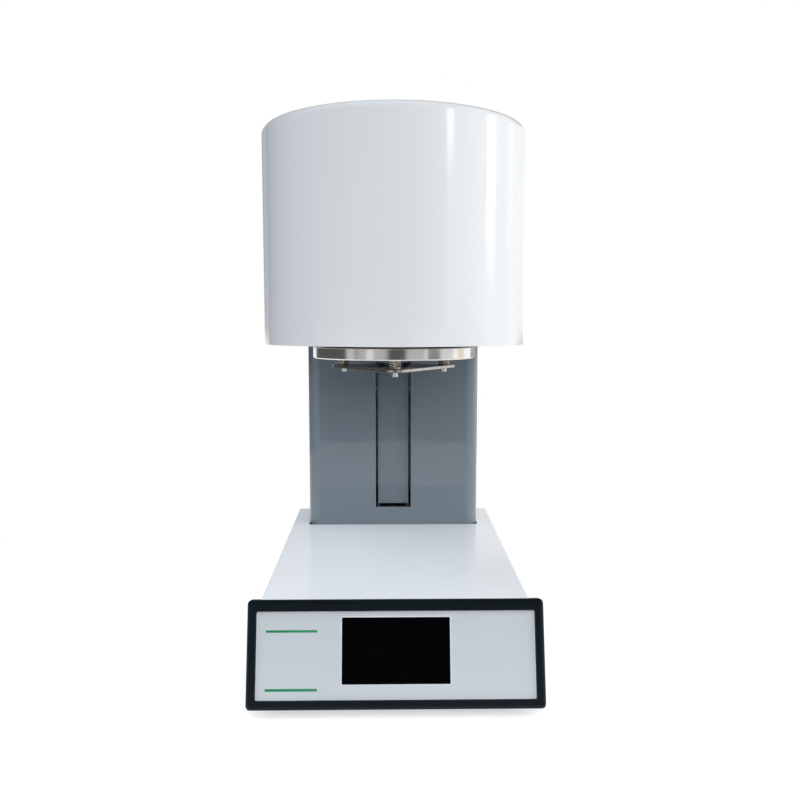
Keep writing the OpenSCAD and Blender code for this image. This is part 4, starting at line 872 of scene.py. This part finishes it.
# Bright windows of the studio that only mirrors see: azimuths, the sines of the heights at which
# one begins, is full, begins to end and has ended, and its brightness
WINDOWS = ((43.5, 50.0, 0.150, 0.235, 0.33, 0.40, 5.0), (83.8, 94.0, 0.020, 0.150, 0.31, 0.36, 4.2),
           (110, 122, 0.030, 0.120, 0.29, 0.35, 0.5), (44, 183, -0.030, 0.000, 0.28, 0.34, 0.75),
           (136, 183, -0.030, 0.000, 0.28, 0.34, 0.15), (60, 136, 0.380, 0.440, 0.72, 0.85, 0.75))

# The soft light of the sky round the object: sine of the height and strength
SKY = ((-1.0, 0.0), (0.15, 0.0), (0.5, 1.544), (1.0, 0.0))


def set_ramp(ramp, stops):
    """Sets the colours of a ramp, whose own two stops are its ends. Stops go from 0 to 1."""
    elements = ramp.color_ramp.elements
    for place, colour in stops:
        stop = (elements[0] if place == 0 else elements[len(elements) - 1] if place == 1
                else elements.new(place))
        stop.color = (*colour, 1)


def sky_light(s, x, z):
    """The soft light of the sky, a little cooler from the left."""
    cool, warm = (0.90, 0.98, 1.04), (1.0, 0.99, 0.98)
    side = s.mixed(s.ease(x, -0.9, 0.9, 0.0, 1.0), cool, warm)
    glow = s.node("ShaderNodeValToRGB")
    s.link(s.math("MULTIPLY", s.math("ADD", z, 1.0), 0.5), glow.inputs[0])
    peak = max(strength for height, strength in SKY)
    set_ramp(glow, [((height + 1) / 2, (strength / peak,) * 3) for height, strength in SKY])
    return s.add("ShaderNodeBackground", side, s.math("MULTIPLY", glow.outputs["Color"], peak))


def mirrored_room(s, turn, z):
    """What mirrors see: the studio's panels, dimmer below the floor and upward, and its windows."""
    ramp = s.node("ShaderNodeValToRGB")
    s.link(s.math("ADD", s.math("DIVIDE", turn, TAU), 0.5), ramp.inputs[0])
    stops = []
    for begin, end, level, gold in STUDIO:
        level /= STUDIO_TOP
        colour = (level, level * (1 - 0.10 * gold), level * (1 - 0.36 * gold))
        stops += [((azimuth + 180) / 360, colour) for azimuth in (begin, end)]
    set_ramp(ramp, stops)
    below, above = s.ease(z, -0.03, 0.0, 1.0, 0.32), s.ease(z, 0.28, 0.62, STUDIO_TOP, 0.45)
    room = s.add("ShaderNodeBackground", ramp.outputs["Color"], s.math("MULTIPLY", below, above))
    degrees = s.math("MULTIPLY", turn, 360 / TAU)
    soft = 1.5      # half the width of a window's soft edge in degrees
    for left, right, low, full, high, end, level in WINDOWS:
        across = s.math("MULTIPLY", s.ease(degrees, left - soft, left + soft, 0.0, 1.0),
                        s.ease(degrees, right - soft, right + soft, 1.0, 0.0))
        up = s.math("MULTIPLY", s.ease(z, low, full, 0.0, level), s.ease(z, high, end, 1.0, 0.0))
        pane = s.add("ShaderNodeBackground", WHITE, s.math("MULTIPLY", across, up))
        room = s.add("ShaderNodeAddShader", room, pane)
    return room


def world():
    """White for the camera, the studio for mirrors and glass, and the sky's light for the rest."""
    made = bpy.data.worlds.new("studio")
    bpy.context.scene.world = made
    made.cycles.sampling_method = "NONE"
    made.use_nodes = True
    s = NodeTree(made.node_tree)
    s.tree.nodes.clear()
    way = s.node("ShaderNodeSeparateXYZ")
    s.link(s.node("ShaderNodeTexCoord").outputs["Generated"], way.inputs[0])
    x, y, z = way.outputs
    turn = s.math("ARCTAN2", x, s.math("MULTIPLY", y, -1.0))
    path = s.node("ShaderNodeLightPath").outputs
    mirrored = s.math("MAXIMUM", path["Is Glossy Ray"], path["Is Transmission Ray"])
    shown = s.add("ShaderNodeMixShader", mirrored, sky_light(s, x, z), mirrored_room(s, turn, z))
    white = s.add("ShaderNodeBackground", WHITE)
    shown = s.add("ShaderNodeMixShader", path["Is Camera Ray"], shown, white)
    s.link(shown, s.node("ShaderNodeOutputWorld").inputs["Surface"])


def camera():
    """The camera of the photograph."""
    data = bpy.data.cameras.new("camera")
    data.sensor_width = 36
    data.lens = 37.35
    data.shift_y = 0.01684
    data.clip_start, data.clip_end = 0.05, 60
    cam = bpy.data.objects.new("camera", data)
    cam.location = (-0.009555, -0.993319, 0.385509)
    yaw, pitch = math.radians(0.97), math.radians(6.17)
    cam.rotation_euler = (math.pi / 2 - pitch, 0, -yaw)
    bpy.context.scene.collection.objects.link(cam)
    bpy.context.scene.camera = cam


camera()
build_materials()
finish_nodes()
springs()
fascia_print()
lead_screw()
heating_coil()
fan_guard()
fan_rotor()
rocker_marks()
smooth_cad()
floor()
lights()
world()
bpy.context.scene.view_settings.view_transform = "Standard"
